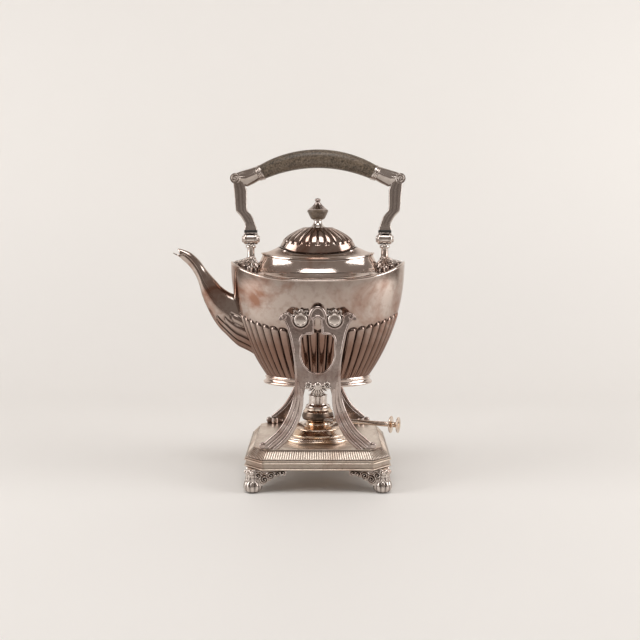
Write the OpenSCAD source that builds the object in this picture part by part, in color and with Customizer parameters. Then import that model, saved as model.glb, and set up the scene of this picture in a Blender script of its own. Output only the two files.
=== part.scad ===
/* [Base] */
// Width of the square base across its flats
base_w = 127.4; // [120:0.1:140]
// Length cut off each corner of the base, along a side
base_cut = 15.5; // [12:0.1:20]
// Height of the underside of the base above the table
base_lift = 20.7; // [17:0.1:26]
// Height of the upright band round the base
band_h = 7.5; // [5:0.1:12]
// How far the two thin mouldings stand out from the band
bead_out = 0.8; // [0.4:0.1:1.2]
// Height of the sloping border
border_rise = 9.1; // [6:0.1:12]
// Width of the sloping border, seen from above
border_run = 8.7; // [6:0.1:10]
// Thickness of the fluted border strip laid on the slope
border_t = 1.2; // [0.8:0.1:2]
// Thickness of the base metal
base_t = 2; // [1.4:0.1:3]

/* [Feet] */
// Distance of each foot's centre from the base's sides
foot_inset = 7.1; // [5.8:0.1:9.5]
// Radius of the lobed bun of each foot
foot_r = 8.4; // [7:0.1:9]
// Height of the bun
bun_h = 12.5; // [10:0.1:15]
// Radius of the flat pad that rests on the table
pad_r = 5.4; // [4:0.1:6.5]
// Distance from the middle to where each foliate bracket ends
bracket_end = 27; // [22:0.5:34]
// Thickness of the foliate brackets
bracket_t = 3; // [2:0.1:4]
// Depth of the foliate brackets, from the base to their lowest lobe
bracket_h = 13.9; // [12:0.1:16]
// Radius of the foot screws
foot_screw_r = 1.5; // [1:0.1:2]
// Length of the foot screws
foot_screw_l = 7; // [5:0.1:9]

/* [Frames] */
// Margin between the outer face of each frame and the slope of the base
toe_margin = 0.6; // [0.4:0.1:1.2]
// Thickness of each frame
frame_t = 4.4; // [3:0.1:5]
// Height of the stud axis above the top of the base
stud_rise = 113.5; // [108:0.5:120]
// Distance between the two studs of one frame
stud_pitch = 29.2; // [27:0.1:32]
// Half the width of a frame at its waist
waist = 19.4; // [18.5:0.1:21]
// Half the distance between the tips of the curled horns
horn = 34; // [32:0.1:37]
// Height of the horns above the stud axis
horn_h = 5.8; // [4:0.1:7]
// Height of the arched crest above the stud axis
crest_h = 12.2; // [10:0.1:13]
// Half the width of the metal round each cradle
cradle_w = 6.6; // [6.2:0.1:7.4]
// Half the width across the toes of a frame
toe = 50; // [46:0.1:53]
// Half the width between the toes of a frame
toe_gap = 35; // [31:0.1:37]
// Half the width of the shield window
window_w = 15.2; // [13:0.1:16]
// Height of the shield window
window_h = 35; // [28:0.5:38]
// Half the width of the arched slot above the window
slot_w = 4; // [3:0.1:5]
// Height of the shield window's foot above the top of the base
window_rise = 66.5; // [64:0.5:72]
// Width of the raised rim round each cradle
rim_w = 1.3; // [0.8:0.1:1.6]
// Height of the raised rim and the leg reeds
relief = 0.7; // [0.4:0.1:1]
// Radius of the shell ornament between the legs
shell_r = 10.5; // [8:0.1:11]
// Radius of the frame screws in the toes
toe_screw_r = 1.2; // [0.8:0.1:1.5]
// How far the frame screws reach up into the toes
toe_screw_l = 3.5; // [2.5:0.1:4.2]
// Radius of the lugs behind the toes
lug_r = 3.4; // [2.8:0.1:4]
// Height of the lugs behind the toes
lug_h = 5.2; // [4.6:0.1:6]

/* [Studs] */
// Radius of the studs that carry the kettle
stud_r = 4; // [3:0.1:4.5]
// Radius of the button heads on the studs
stud_head_r = 5.6; // [5.3:0.1:6]
// Thickness of the button heads
stud_head_t = 1.8; // [1.2:0.1:2.5]
// Half the width of a foliate stud bracket
stud_leaf_w = 8.4; // [7.5:0.1:9]
// Gap between a stud bracket and its frame
stud_gap = 1.2; // [0.8:0.1:2]

/* [Lamp] */
// Radius of the lamp's rim on the base
font_r = 38; // [35:0.5:40]
// Radius of the well in the base that the lamp drops into
well_r = 34; // [32:0.5:34.5]
// Gap between the lamp's sunk bowl and the well
well_gap = 0.5; // [0.3:0.1:1]
// Height of the lamp's underside above the table
font_low = 12.5; // [9:0.1:15]
// Thickness of the lamp's metal
font_t = 1.2; // [0.8:0.1:1.6]
// Radius of the dark collar that houses the wick wheel
collar_r = 14.7; // [13.5:0.1:16]
// Height of the collar above the top of the base
collar_rise = 14; // [13:0.1:16]
// Height of the collar
collar_h = 10.5; // [9.5:0.1:11.5]
// Radius of the wick tube
tube_r = 8.3; // [7:0.1:9]
// Height of the top of the wick tube above the top of the base
tube_rise = 38; // [36:0.1:39]
// Radius of the wick
wick_r = 4; // [3.5:0.1:4.5]
// How far the wick stands above its tube
wick_out = 0.6; // [0.2:0.1:1]
// Gap round the wick and round its wheel
wick_gap = 0.4; // [0.3:0.1:0.6]

/* [Winder] */
// Height of the winder rod above the top of the base
rod_rise = 17; // [16.5:0.1:17.5]
// Angle of the winder rod towards the front
rod_angle = 20; // [10:1:30]
// Radius of the winder rod
rod_r = 1.5; // [1.2:0.1:1.9]
// Distance from the lamp's axis to the end of the winder knob
rod_reach = 80; // [74:0.5:83]
// Radius of the winder knob
knob_r = 7.6; // [6:0.1:9]
// Length of the winder knob
knob_l = 10; // [8:0.5:13]
// Outer radius of the toothed wick wheel
wheel_r = 3.4; // [3:0.1:3.8]
// Thickness of the wick wheel
wheel_t = 2; // [1.4:0.1:3]
// Radial clearance of the rod, the hinge pins and the studs
run_fit = 0.05; // [0.02:0.01:0.1]

/* [Kettle body] */
// Half the length of the kettle at its rim
rim_a = 79.3; // [77:0.1:82]
// Gap between the widest part of the kettle and each frame
body_gap = 2; // [1.8:0.1:4]
// Half the length of the body where it meets the foot
hull_a = 47.6; // [45:0.1:50]
// Height of the body, from its foot ring to the front of the rim
hull_h = 88.8; // [84:0.1:94]
// How much higher the two ends of the rim are than its front
rim_rise = 14; // [10:0.1:17]
// How full the side of the body is: 1 is a cone, more is rounder
fullness = 2.1; // [1.8:0.05:2.4]
// Thickness of the body metal
hull_t = 1.8; // [1.5:0.1:2.2]
// Height of the studs above the bottom of the kettle's foot ring
stud_up = 63.6; // [60:0.1:67]
// Number of convex flutes round the body
flutes = 48; // [36:4:56]
// Depth of the grooves between the flutes
flute_d = 1.3; // [0.8:0.1:1.6]
// Height of the flutes' tops above the foot ring, at the front
flute_h = 45.5; // [42:0.5:50]
// How much higher the flutes' tops are at the two ends
flute_rise = 12.5; // [9:0.5:15]
// Height of the foot ring
ring_h = 7.5; // [6:0.1:9]
// Half the length of the foot ring at the bottom
ring_a = 50.3; // [48:0.1:52]

/* [Shoulder and neck] */
// Thickness of the shoulder, neck and lid metal
top_t = 1.3; // [1:0.1:1.6]
// Half the length of the neck at its foot
neck_a = 62; // [59:0.1:64]
// Half the width of the neck at its foot
neck_b = 38; // [36:0.1:39.5]
// Height of the neck's foot above the front of the rim
shoulder_rise = 6.5; // [5:0.1:8]
// Height of the neck, at its front
neck_h = 11; // [9:0.1:13]
// Half the length of the mouth under the lid
mouth_a = 47; // [45:0.1:48.5]
// Half the width of the mouth under the lid
mouth_b = 29.5; // [28:0.1:30.5]
// How much higher the two tips of the lid and mouth are than their front
tip_rise = 4.5; // [3:0.1:6]

/* [Spout] */
// Distance from the kettle's axis to the middle of the spout's mouth
spout_reach = 129.6; // [124:0.1:134]
// Height of the spout's mouth above the bottom of the foot ring
spout_up = 121; // [116:0.1:126]
// Height of the middle of the spout's root above the bottom of the foot ring
spout_root_up = 50; // [48:0.1:52]
// Half the height of the spout at its root
spout_root_r = 23; // [20:0.1:25]
// Half the width of the spout at its root
spout_root_w = 12.5; // [11:0.1:14]
// Half the height of the spout at its mouth
spout_tip_r = 3.9; // [3.6:0.1:4.6]
// Wall of the spout
spout_t = 1.3; // [1:0.1:1.5]

/* [Lid] */
// Half the length of the lid's flange
lid_a = 51.7; // [50:0.1:53]
// Half the width of the lid's flange
lid_b = 33; // [32:0.1:34.5]
// Half the length of the gadrooned dome
dome_a = 34; // [31:0.1:37]
// Half the width of the gadrooned dome
dome_b = 23.5; // [21:0.1:25]
// Height of the dome's foot above the front of the flange
dome_foot = 4.6; // [3.5:0.1:6]
// How much higher the dome's foot is at its two ends
dome_rise = 6.5; // [4:0.1:8]
// Height of the dome above the front of its foot
dome_h = 24; // [21:0.1:27]
// Number of gadroons on the dome
gadroons = 24; // [20:2:32]
// Depth of the grooves between the gadroons
gadroon_d = 0.9; // [0.5:0.1:1.1]
// Depth of the lid's inner sleeve
bezel_h = 4; // [3:0.1:6]
// Gap between the lid and the neck
lid_gap = 0.35; // [0.3:0.05:0.6]
// Radius of the lid hinge's knuckles
leaf_r = 2.2; // [1.9:0.1:2.6]
// Radius of the lid hinge's pin
hinge_pin_r = 1.1; // [0.8:0.1:1.2]
// Length of the lid hinge
hinge_l = 18; // [14:1:24]

/* [Finial] */
// Height of the finial's stem
stem_h = 7; // [5:0.1:9]
// Radius of the finial's stem
stem_r = 3.4; // [2.8:0.1:4]
// Height of the finial's dark bowl
bowl_h = 12.5; // [10:0.1:14]
// Radius of the finial's dark bowl
bowl_r = 9.5; // [8:0.1:10.5]
// Radius of the small ball on top
ball_r = 2.4; // [2:0.1:3]

/* [Handle] */
// Distance from the middle to each handle pivot
post_x = 61; // [60:0.1:62.5]
// Height of the handle pivots above the front of the rim
pivot_rise = 35.8; // [34:0.1:38]
// Radius of the knuckles
knuckle_r = 5; // [4.4:0.1:5.6]
// Width of a knuckle over its two cheeks
knuckle_w = 14; // [12:0.1:15]
// Width of the eye between the cheeks
eye_w = 6.4; // [5:0.1:7]
// Radius of the handle pivot pins
pivot_r = 1.6; // [1.2:0.1:2]
// Radius of the turned posts
post_r = 3.4; // [2.8:0.1:4]
// Half the length of the leaf plates under the posts
post_leaf_l = 16; // [13:0.5:18]
// Half the width of the leaf plates under the posts
post_leaf_w = 8; // [6:0.1:9]
// Thickness of the black insulator bands
band_t = 1.8; // [1.2:0.1:2.4]
// Width of the struts
strut_w = 10.6; // [9.5:0.1:11.5]
// Thickness of the struts from front to back
strut_t = 7; // [5.5:0.1:9]
// How far each strut steps outwards at its elbow
elbow_out = 8.7; // [6:0.1:9.5]
// Height of the scroll's middle above the pivot
scroll_up = 54.5; // [50:0.5:58]
// Radius of the volute scrolls
scroll_r = 4.9; // [4:0.1:5.5]
// Height of the middle of the grip's axis above the pivot
grip_up = 72.2; // [68:0.1:76]
// Radius of the grip's arch
grip_arch = 112; // [105:1:120]
// Half the length of the grip, from its middle to each end
grip_half = 51; // [48:0.1:52]
// Radius of the grip in the middle
grip_r = 8.3; // [7.5:0.1:9]
// Radius of the grip at its ends
grip_end_r = 6.4; // [5.5:0.1:7]

/* [Hidden] */
$fn = 48;

silver = "silver";
tarnish = [0.72, 0.62, 0.56];
dark = [0.28, 0.26, 0.25];
black = [0.1, 0.1, 0.1];
brass = [0.8, 0.62, 0.36];
cotton = [0.9, 0.88, 0.8];

// Heights above the table
base_top = base_lift + band_h + border_rise;
stud_z = base_top + stud_rise;
ring_z = stud_z - stud_up;
hull_z = ring_z + ring_h;
rim_z = hull_z + hull_h;
neck_z = rim_z + shoulder_rise;
mouth_z = neck_z + neck_h;
lid_z = mouth_z + lid_gap;
dome_z = lid_z + dome_foot;
finial_z = dome_z + dome_h;
pivot_z = rim_z + pivot_rise;
rod_z = base_top + rod_rise;
tube_z = base_top + tube_rise;

// The base's half-width, and what stands on it: feet, frames and the body between the frames
half = base_w / 2;
foot_at = half - foot_inset;
frame_out = half - border_run - toe_margin;
frame_in = frame_out - frame_t;
rim_b = frame_in - body_gap;
depth_ratio = rim_b / rim_a;
stud_x = stud_pitch / 2;
cradle_r = stud_r + run_fit;

// The lid's hinge, behind its flange
flange_w = 3;
hinge_y = lid_b + leaf_r + 0.6;
hinge_z = lid_z + leaf_r - top_t;

// The lamp's throat, and the winder rod's distance from the wick
throat_r = tube_r - 0.6;
wheel_bite = 0.1;
rod_off = wick_r + wheel_r + wheel_bite;

// A narrow gap where two castings nearly meet
seam = 0.3;

// One corner-cut square outline, drawn in a little on every side
module base_outline(inset) {
    h = half - inset;
    cut = base_cut - 0.586 * inset;
    polygon([[h - cut, -h], [h, cut - h], [h, h - cut], [h - cut, h],
             [cut - h, h], [-h, h - cut], [-h, cut - h], [cut - h, -h]]);
}

// A solid whose four sides and four cut corners all follow one profile of [inset, height] points
module mitred(profile) {
    long = 2 * base_w;
    diagonal = (2 * half - base_cut) / sqrt(2);
    intersection_for (turn = [0 : 3]) {
        reach = turn % 2 == 0 ? half : diagonal;
        right = [for (p = profile) [reach - p[0], p[1]]];
        left = [for (i = [len(profile) - 1 : -1 : 0]) [profile[i][0] - reach, profile[i][1]]];
        rotate([0, 0, 45 * turn])
            rotate([90, 0, 0])
                linear_extrude(long, center = true)
                    polygon(concat(right, left));
    }
}

module base_plate() {
    bead = 1.2;
    hole = 3 * base_t;
    outer = [[0, base_lift], [0, base_lift + bead], [bead_out, base_lift + bead],
             [bead_out, base_lift + band_h - bead], [0, base_lift + band_h - bead],
             [0, base_lift + band_h], [border_run, base_top]];
    inner = [[base_t + bead_out, base_lift - 1], [base_t + bead_out, base_lift + band_h - base_t],
             [border_run + base_t, base_top - base_t]];
    color(silver) difference() {
        mitred(outer);
        mitred(inner);
        translate([0, 0, base_top - 2 * base_t]) cylinder(hole, r = well_r);
        for (x = [-1, 1], y = [-1, 1])
            translate([x * screw_x, y * screw_y, base_top - 2 * base_t])
                cylinder(hole, r = toe_screw_r + run_fit);
    }
}

// The strip of small flutes that covers the slope
module base_border() {
    low = base_lift + band_h;
    edge = 0.6;
    flute_count = 26;
    pitch = 2 * (half - base_cut) / flute_count;
    strip = norm([border_run, border_rise]);
    color(silver) difference() {
        mitred([[0, low], [0, low + edge], [border_run - border_t, base_top + border_t / 2]]);
        mitred([[-1, low - 1], [0, low], [border_run, base_top]]);
        translate([0, 0, base_top - 1])
            linear_extrude(2 * border_t + 2) base_outline(border_run + toe_margin - seam);
        for (flipped = [0, 1])
            mirror([0, flipped, 0])
                translate([-toe - seam, frame_in - seam, base_top - seam])
                    cube([2 * (toe + seam), frame_t + 2 * seam, 2 * border_t]);
        for (side = [0 : 3], i = [1 : flute_count - 1])
            rotate([0, 0, 90 * side])
                translate([half - 0.9, i * pitch - flute_count * pitch / 2, low + edge + 1.4])
                    rotate([0, -atan2(border_run, border_rise), 0])
                        cylinder(strip - 4, r = 0.7, $fn = 16);
    }
}

// A lobed bun with a foliate bracket along each side of the corner; sx and sy pick the corner
module corner_foot(sx, sy) {
    lobes = 5;
    wing = foot_at - bracket_end;
    face = half - bead_out - bracket_t;
    color(silver) scale_corner(sx, sy) difference() {
        union() {
            translate([foot_at, foot_at, 0]) rotate_extrude()
                polygon([[0, 0], [pad_r, 0], [foot_r - 1.2, bun_h * 0.16], [foot_r, bun_h * 0.42],
                         [foot_r - 1, bun_h * 0.72], [foot_r * 0.6, bun_h], [foot_r * 0.45, bun_h + 1],
                         [foot_r * 0.62, base_lift - 1.5], [foot_r * 0.62, base_lift],
                         [0, base_lift]]);
            for (k = [0 : lobes - 1])
                translate([foot_at, foot_at, bun_h * 0.45])
                    rotate([0, 0, 45 + (k - 2) * 36])
                        translate([foot_r * 0.42, 0, 0]) sphere(foot_r * 0.5, $fn = 24);
            for (mirrored = [0, 1])
                mirror([mirrored, -mirrored, 0])
                    translate([bracket_end, face, 0]) rotate([90, 0, 0])
                        mirror([0, 0, 1]) linear_extrude(bracket_t)
                            foliate_bracket(wing);
        }
        translate([foot_at, foot_at, base_lift - foot_screw_l - 1])
            cylinder(foot_screw_l + 2, r = foot_screw_r + run_fit);
    }
}

module scale_corner(sx, sy) {
    mirror([sx < 0 ? 1 : 0, 0, 0]) mirror([0, sy < 0 ? 1 : 0, 0]) children();
}

// The bracket's lobes: how far along it, how deep and how large, as shares of its length and depth
bracket_lobes = [[0.1, 0.29, 0.21], [0.36, 0.32, 0.27], [0.58, 0.47, 0.33], [0.82, 0.61, 0.39]];

// The bracket's outline hangs from the base: deep at the foot, shallow at its far end
module foliate_bracket(wing) {
    deep = bracket_h;
    difference() {
        union() {
            translate([0, base_lift - deep * 0.29]) square([wing, deep * 0.29]);
            for (l = bracket_lobes)
                translate([wing * l[0], base_lift - deep * l[1]]) circle(deep * l[2], $fn = 24);
            translate([wing * 0.6, base_lift - deep * 0.58]) square([wing * 0.35, deep * 0.58]);
        }
        translate([-wing, base_lift]) square([3 * wing, deep]);
        translate([wing * 0.47, base_lift - deep * 0.26]) circle(deep * 0.065, $fn = 16);
        translate([wing * 0.7, base_lift - deep * 0.5]) circle(deep * 0.085, $fn = 16);
    }
}

module foot_screws() {
    color(brass) for (x = [-1, 1], y = [-1, 1])
        translate([x * foot_at, y * foot_at, base_lift - foot_screw_l])
            cylinder(foot_screw_l, r = foot_screw_r);
}

// Where the toes are screwed down: the lugs' middle lies behind the middle of the frame
lug_back = 2.6;
screw_x = (toe + toe_gap) / 2;
screw_y = frame_in + frame_t / 2 - lug_back;

// A point of the leg, w of the way from the waist to the toe's tip and h of the way up to the studs
function leg(w, h) = [waist + (toe - waist) * w, base_top + stud_rise * h];

// A point of the horn, w of the way from its cradle to its tip and h of its height above the studs
function horn_at(w, h) =
    let (from = stud_x + cradle_w) [from + (horn - from) * w, stud_z + horn_h * h];

// A point of the crest between the cradles, as shares of its half-width and height
function crest_at(w, h) = [(stud_x - cradle_w) * w, stud_z + crest_h * h];

// Half of a frame's outline, from the slot's arch down the outside to the toe and up between the legs
function frame_edge() = [
    for (turn = [0:15:90]) crest_at(sin(turn), cos(turn)),
    horn_at(0, 0), horn_at(0.03, 0.55), horn_at(0.31, 1), horn_at(0.65, 0.93), horn_at(0.89, 0.59),
    horn_at(1, 0.07), horn_at(0.67, -0.1), horn_at(0.5, -0.69),
    leg(0.163, 0.894), leg(0.059, 0.815), leg(0.007, 0.7), leg(0, 0.529), leg(0.01, 0.405),
    leg(0.111, 0.291), leg(0.288, 0.203), leg(0.542, 0.119), leg(0.837, 0.048), leg(1, 0.014),
    [toe, base_top], [toe_gap, base_top], leg(0.346, 0.066), leg(0.167, 0.15), leg(-0.085, 0.238),
    leg(-0.196, 0.335), [shell_r, base_top + window_rise * 0.75],
    [shell_r * 0.71, base_top + window_rise * 0.84], [0, base_top + window_rise * 0.87]
];

module frame_shape() {
    edge = frame_edge();
    polygon(concat(edge, [for (i = [len(edge) - 2 : -1 : 1]) [-edge[i][0], edge[i][1]]]));
}

// A U-shaped cradle: round below the stud and wider towards its open top, drawn grow larger all round
module cradle(grow) {
    r = cradle_r + grow;
    lean = 1.6;
    circle(r);
    polygon([[-r, 0], [r, 0], [r + lean, 12], [-r - lean, 12]]);
}

module window_shape(grow) {
    w = window_w + grow;
    low = base_top + window_rise;
    top = low + window_h;
    difference() {
        union() {
            translate([0, low + window_w]) circle(w, $fn = 64);
            translate([-w, low + window_w]) square([2 * w, window_h - window_w + grow]);
        }
        for (side = [-1, 1])
            translate([side * (w + 1), top + grow + 1]) rotate(45)
                square(6, center = true);
    }
    translate([-slot_w - grow, top - 1]) square([2 * (slot_w + grow), stud_z + 2.6 - slot_w - top + 1]);
    translate([0, stud_z + 2.6 - slot_w]) circle(slot_w + grow);
}

// One frame, drawn standing at the front; the back one is its mirror image
module frame() {
    rim_top = stud_z + 3;
    lug_at = frame_t / 2 - lug_back;
    translate([0, -frame_in, 0]) rotate([90, 0, 0]) difference() {
        union() {
            linear_extrude(frame_t) frame_shape();
            linear_extrude(frame_t + relief) intersection() {
                frame_shape();
                union() {
                    difference() {
                        union() for (s = [-1, 1]) translate([s * stud_x, stud_z]) cradle(2.6 + rim_w);
                        translate([-stud_pitch, rim_top]) square([2 * stud_pitch, 20]);
                    }
                    window_shape(rim_w);
                }
            }
            for (s = [-1, 1])
                translate([s * screw_x, base_top, lug_at])
                    rotate([-90, 0, 0]) cylinder(lug_h, r = lug_r);
        }
        translate([0, 0, -1]) linear_extrude(frame_t + 4) {
            window_shape(0);
            for (s = [-1, 1]) translate([s * stud_x, stud_z]) cradle(0);
        }
        for (s = [-1, 1]) {
            translate([s * stud_x, stud_z, frame_t])
                linear_extrude(3) cradle(stud_head_r - cradle_r + 0.4);
            translate([s * screw_x, base_top - 1, lug_at])
                rotate([-90, 0, 0]) cylinder(toe_screw_l + 1.5, r = toe_screw_r + run_fit);
        }
    }
}

module front_frame() {
    color(silver) frame();
}

module back_frame() {
    color(silver) mirror([0, 1, 0]) frame();
}

module frame_screws() {
    color(brass) for (x = [-1, 1], y = [-1, 1])
        translate([x * screw_x, y * screw_y, base_top - base_t - 1])
            cylinder(base_t + 1 + toe_screw_l, r = toe_screw_r);
}

// A fan of ribs between two small scrolls, under the window
module shell() {
    ribs = 7;
    z = base_top + 54;
    back = frame_in + frame_t;
    translate([0, -back, z]) rotate([90, 0, 0]) {
        linear_extrude(1) difference() {
            circle(shell_r);
            translate([-shell_r, 3]) square([2 * shell_r, shell_r]);
        }
        for (i = [0 : ribs - 1])
            rotate(180 + (i + 0.5) * 180 / ribs)
                translate([shell_r * 0.2, 0, 1]) rotate([0, 90, 0])
                    cylinder(shell_r * 0.72, r1 = 0.7, r2 = 1.5, $fn = 20);
        for (s = [-1, 1]) translate([s * (shell_r - 2.4), 1.6, 0]) cylinder(2.4, r = 2.4);
    }
}

module front_shell() {
    color(tarnish) shell();
}

module back_shell() {
    color(tarnish) mirror([0, 1, 0]) shell();
}

// The stepped dish, its sunk bowl and its short throat
module lamp_font() {
    bowl = well_r - well_gap;
    throat = throat_r;
    outer = [[0, font_low], [bowl - 7, font_low], [bowl - 2, font_low + 3], [bowl, font_low + 8],
             [bowl, base_top], [font_r, base_top], [font_r, base_top + 1.6],
             [font_r - 2.4, base_top + 3.6], [font_r - 5.4, base_top + 4.2],
             [font_r - 7.4, base_top + 5.4], [font_r - 15, base_top + 8.6],
             [font_r - 17, base_top + 10.2], [throat + 3.6, base_top + 11],
             [throat + 3.6, base_top + collar_rise], [throat, base_top + collar_rise]];
    inner = [[throat, base_top + 10.4], [font_r - 18, base_top + 8.6],
             [font_r - 16, base_top + 7.2], [font_r - 8.6, base_top + 4],
             [bowl - font_t, base_top + 2.4], [bowl - font_t, font_low + 8],
             [bowl - 3, font_low + 4], [bowl - 7.4, font_low + font_t], [0, font_low + font_t]];
    color(tarnish) difference() {
        rotate_extrude($fn = 96) polygon(concat(outer, inner));
        wheel_room();
    }
}

// The dark collar: a hollow drum, open to the font below and to the tube above
module lamp_collar() {
    low = base_top + collar_rise;
    top = low + collar_h;
    wall = 1.2;
    seat = throat_r;
    color(dark) difference() {
        rotate_extrude($fn = 96)
            polygon([[seat, low], [collar_r - 2.3, low], [collar_r, low + collar_h * 0.35],
                     [collar_r, low + collar_h * 0.6], [collar_r - 2.3, top], [seat + 4, top],
                     [seat + 4, top + 2], [seat, top + 2], [seat, top - wall],
                     [collar_r - 3.3, top - wall], [collar_r - wall, low + collar_h * 0.6],
                     [collar_r - wall, low + collar_h * 0.35], [collar_r - 3.3, low + wall],
                     [seat, low + wall]]);
        along_rod(collar_r - 6) cylinder(10, r = rod_r + 1.5);
        along_rod(0) cylinder(collar_r, r = rod_r + wick_gap);
        wheel_room();
    }
}

// The notch in the throat and the collar's floor that the wick wheel turns in
module wheel_room() {
    along_rod(-wheel_t / 2 - wick_gap) cylinder(wheel_t + 2 * wick_gap, r = wheel_r + wick_gap);
}

// Moves its children onto the winder rod's line, start mm out from the point nearest the lamp's axis
module along_rod(start) {
    rotate([0, 0, -rod_angle]) translate([start, -rod_off, rod_z]) rotate([0, 90, 0]) children();
}

module wick_tube() {
    low = base_top + collar_rise + collar_h + 2;
    bore = wick_r + wick_gap;
    color(silver) rotate_extrude()
        polygon([[bore, low], [throat_r + 3.4, low], [throat_r + 3.4, low + 1.8],
                 [tube_r + 1, low + 2.6], [tube_r, low + 3.6], [tube_r, tube_z], [bore, tube_z]]);
}

module winder_bush() {
    color(silver) along_rod(collar_r - 6) difference() {
        union() {
            cylinder(9, r = rod_r + 1.5);
            translate([0, 0, 7]) cylinder(3, r = rod_r + 2.4);
        }
        translate([0, 0, -1]) cylinder(12, r = rod_r + run_fit);
    }
}

module wick() {
    foot = font_low + font_t + 7;
    color(cotton) translate([0, 0, foot]) cylinder(tube_z + wick_out - foot, r = wick_r);
}

module winder_rod() {
    reach = rod_reach - knob_l;
    color(silver) along_rod(-3) {
        cylinder(reach + 4, r = rod_r);
        translate([0, 0, collar_r + 10]) cylinder(reach - collar_r - 6, r1 = rod_r, r2 = rod_r + 0.7);
    }
}

// A spool: two flanges with a narrow waist
module winder_knob() {
    bore = rod_r + 0.7;
    l = knob_l;
    color(silver) along_rod(rod_reach - knob_l + 1) rotate_extrude()
        polygon([[0, 0], [bore + 1, 0], [knob_r - 1, 0.6], [knob_r, 1], [knob_r, 2.2],
                 [3.2, 3.2], [2.6, l * 0.5], [3.2, l - 3.4], [knob_r, l - 2.4],
                 [knob_r, l - 1.4], [knob_r - 3, l - 0.5], [0, l]]);
}

module wick_wheel() {
    teeth = 10;
    tooth = 0.8;
    color(brass) along_rod(-wheel_t / 2) difference() {
        union() {
            cylinder(wheel_t, r = wheel_r - tooth + 0.2);
            for (i = [0 : teeth - 1])
                rotate(i * 360 / teeth) translate([wheel_r - tooth - 0.2, -tooth / 2, 0])
                    cube([tooth + 0.2, tooth, wheel_t]);
        }
        translate([0, 0, -1]) cylinder(wheel_t + 2, r = rod_r);
    }
}

// A polyhedron through equal rings of points; joined makes the last ring meet the first
module loft(rings, joined = false) {
    n = len(rings[0]);
    count = len(rings);
    spans = joined ? count : count - 1;
    sides = [for (k = [0 : spans - 1], i = [0 : n - 1])
        let (up = (k + 1) % count, j = (i + 1) % n)
            each [[up * n + i, up * n + j, k * n + j], [up * n + i, k * n + j, k * n + i]]];
    caps = joined ? [] : [[for (i = [0 : n - 1]) i], [for (i = [n - 1 : -1 : 0]) (count - 1) * n + i]];
    polyhedron(points = [for (r = rings) each r], faces = concat(sides, caps), convexity = 6);
}

// How near an angle is to the two ends of the oval: 0 at the middle, 1 at the ends
function endness(t) = pow(abs(cos(t)), 3.3);

// One oval ring at height z, with its ends raised by rise and slightly pointed
function oval(a, b, z, rise = 0, n = 96, point = 0.06) = [
    for (i = [0 : n - 1]) let (t = 360 * i / n)
        [a * cos(t), b * sin(t) * (1 - point * pow(cos(t), 2)), z + rise * endness(t)]
];

// Half the body's length at h above its foot ring
function hull_half(h) =
    let (s = min(h / (hull_h + rim_rise), 1))
        hull_a + (rim_a - hull_a) * (1 - pow(1 - s, fullness));

// One ring of the body, share of the way from the foot to the rim, set in by inset
function hull_ring(from_h, from_rise, to_h, to_rise, share, inset, groove, n) = [
    for (i = [0 : n - 1])
        let (t = 360 * i / n,
             low = from_h + from_rise * endness(t),
             high = to_h + to_rise * endness(t),
             h = low + share * (high - low),
             cut = inset + (i % 2 == 1 ? groove : 0),
             a = hull_half(h) - cut,
             b = hull_half(h) * depth_ratio - cut)
            [a * cos(t), b * sin(t) * (1 - 0.06 * pow(cos(t), 2)), hull_z + h]
];

// How deep the grooves are at each ring of the fluted part, from the foot up
flute_fade = [0.35, 1, 1, 1, 1, 1, 0.9, 0];

// Points round the body: one on each flute's back and one in each groove
body_n = 2 * flutes;

function fluted_rings(groove) = let (steps = len(flute_fade) - 1)
    [for (k = [0 : steps])
        hull_ring(0, 0, flute_h, flute_rise, k / steps, 0, groove * flute_fade[k], body_n)];
function plain_rings() =
    [for (k = [1 : 3]) hull_ring(flute_h, flute_rise, hull_h, rim_rise, k / 3, 0, 0, body_n)];

// A solid of the body's outside, run on above the rim, that cuts what is fitted to the body
module body_mass() {
    rings = concat(fluted_rings(0), plain_rings());
    loft(concat(rings, [level_ring(rings[len(rings) - 1], rim_z + rim_rise + 5)]));
}

// The same ring moved up or down to one level, so that it can close a solid
function level_ring(ring, z) = [for (p = ring) [p[0], p[1], z]];

module kettle_body() {
    steps = 5;
    port_r = spout_root_w - spout_t - 2;
    inner = [for (k = [steps : -1 : 0])
        hull_ring(hull_t, 0, hull_h, rim_rise, k / steps, hull_t + flute_d * (1 - k / steps), 0, body_n)];
    color(tarnish) difference() {
        loft(concat(fluted_rings(flute_d), plain_rings(), inner));
        translate([-rim_a, 0, port_z]) rotate([0, 90, 0]) cylinder(rim_a / 2, r = port_r);
    }
}

// The oval foot ring, with a small step under the body
module kettle_foot() {
    ratio = depth_ratio;
    n = 64;
    deep = 5;
    function row(a, z) = oval(a, a * ratio, z, 0, n);
    color(tarnish) loft([
        row(hull_a - deep, ring_z + 1.6), row(ring_a - 3, ring_z), row(ring_a, ring_z),
        row(ring_a + 0.2, ring_z + 1.4), row(ring_a - 2, ring_z + ring_h * 0.6),
        row(hull_a + 0.6, ring_z + ring_h * 0.7), row(hull_a, hull_z), row(hull_a - deep, hull_z)
    ], joined = true);
}

// The line of the rim, drawn in by inset and lifted by up
function rim_edge(inset, up) = [
    for (p = hull_ring(0, 0, hull_h, rim_rise, 1, inset, 0, body_n)) [p[0], p[1], p[2] + up]];

// The shoulder covers the gap between the rim and the neck; its top runs in from rim_lip
rim_lip = 1.8;

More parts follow.
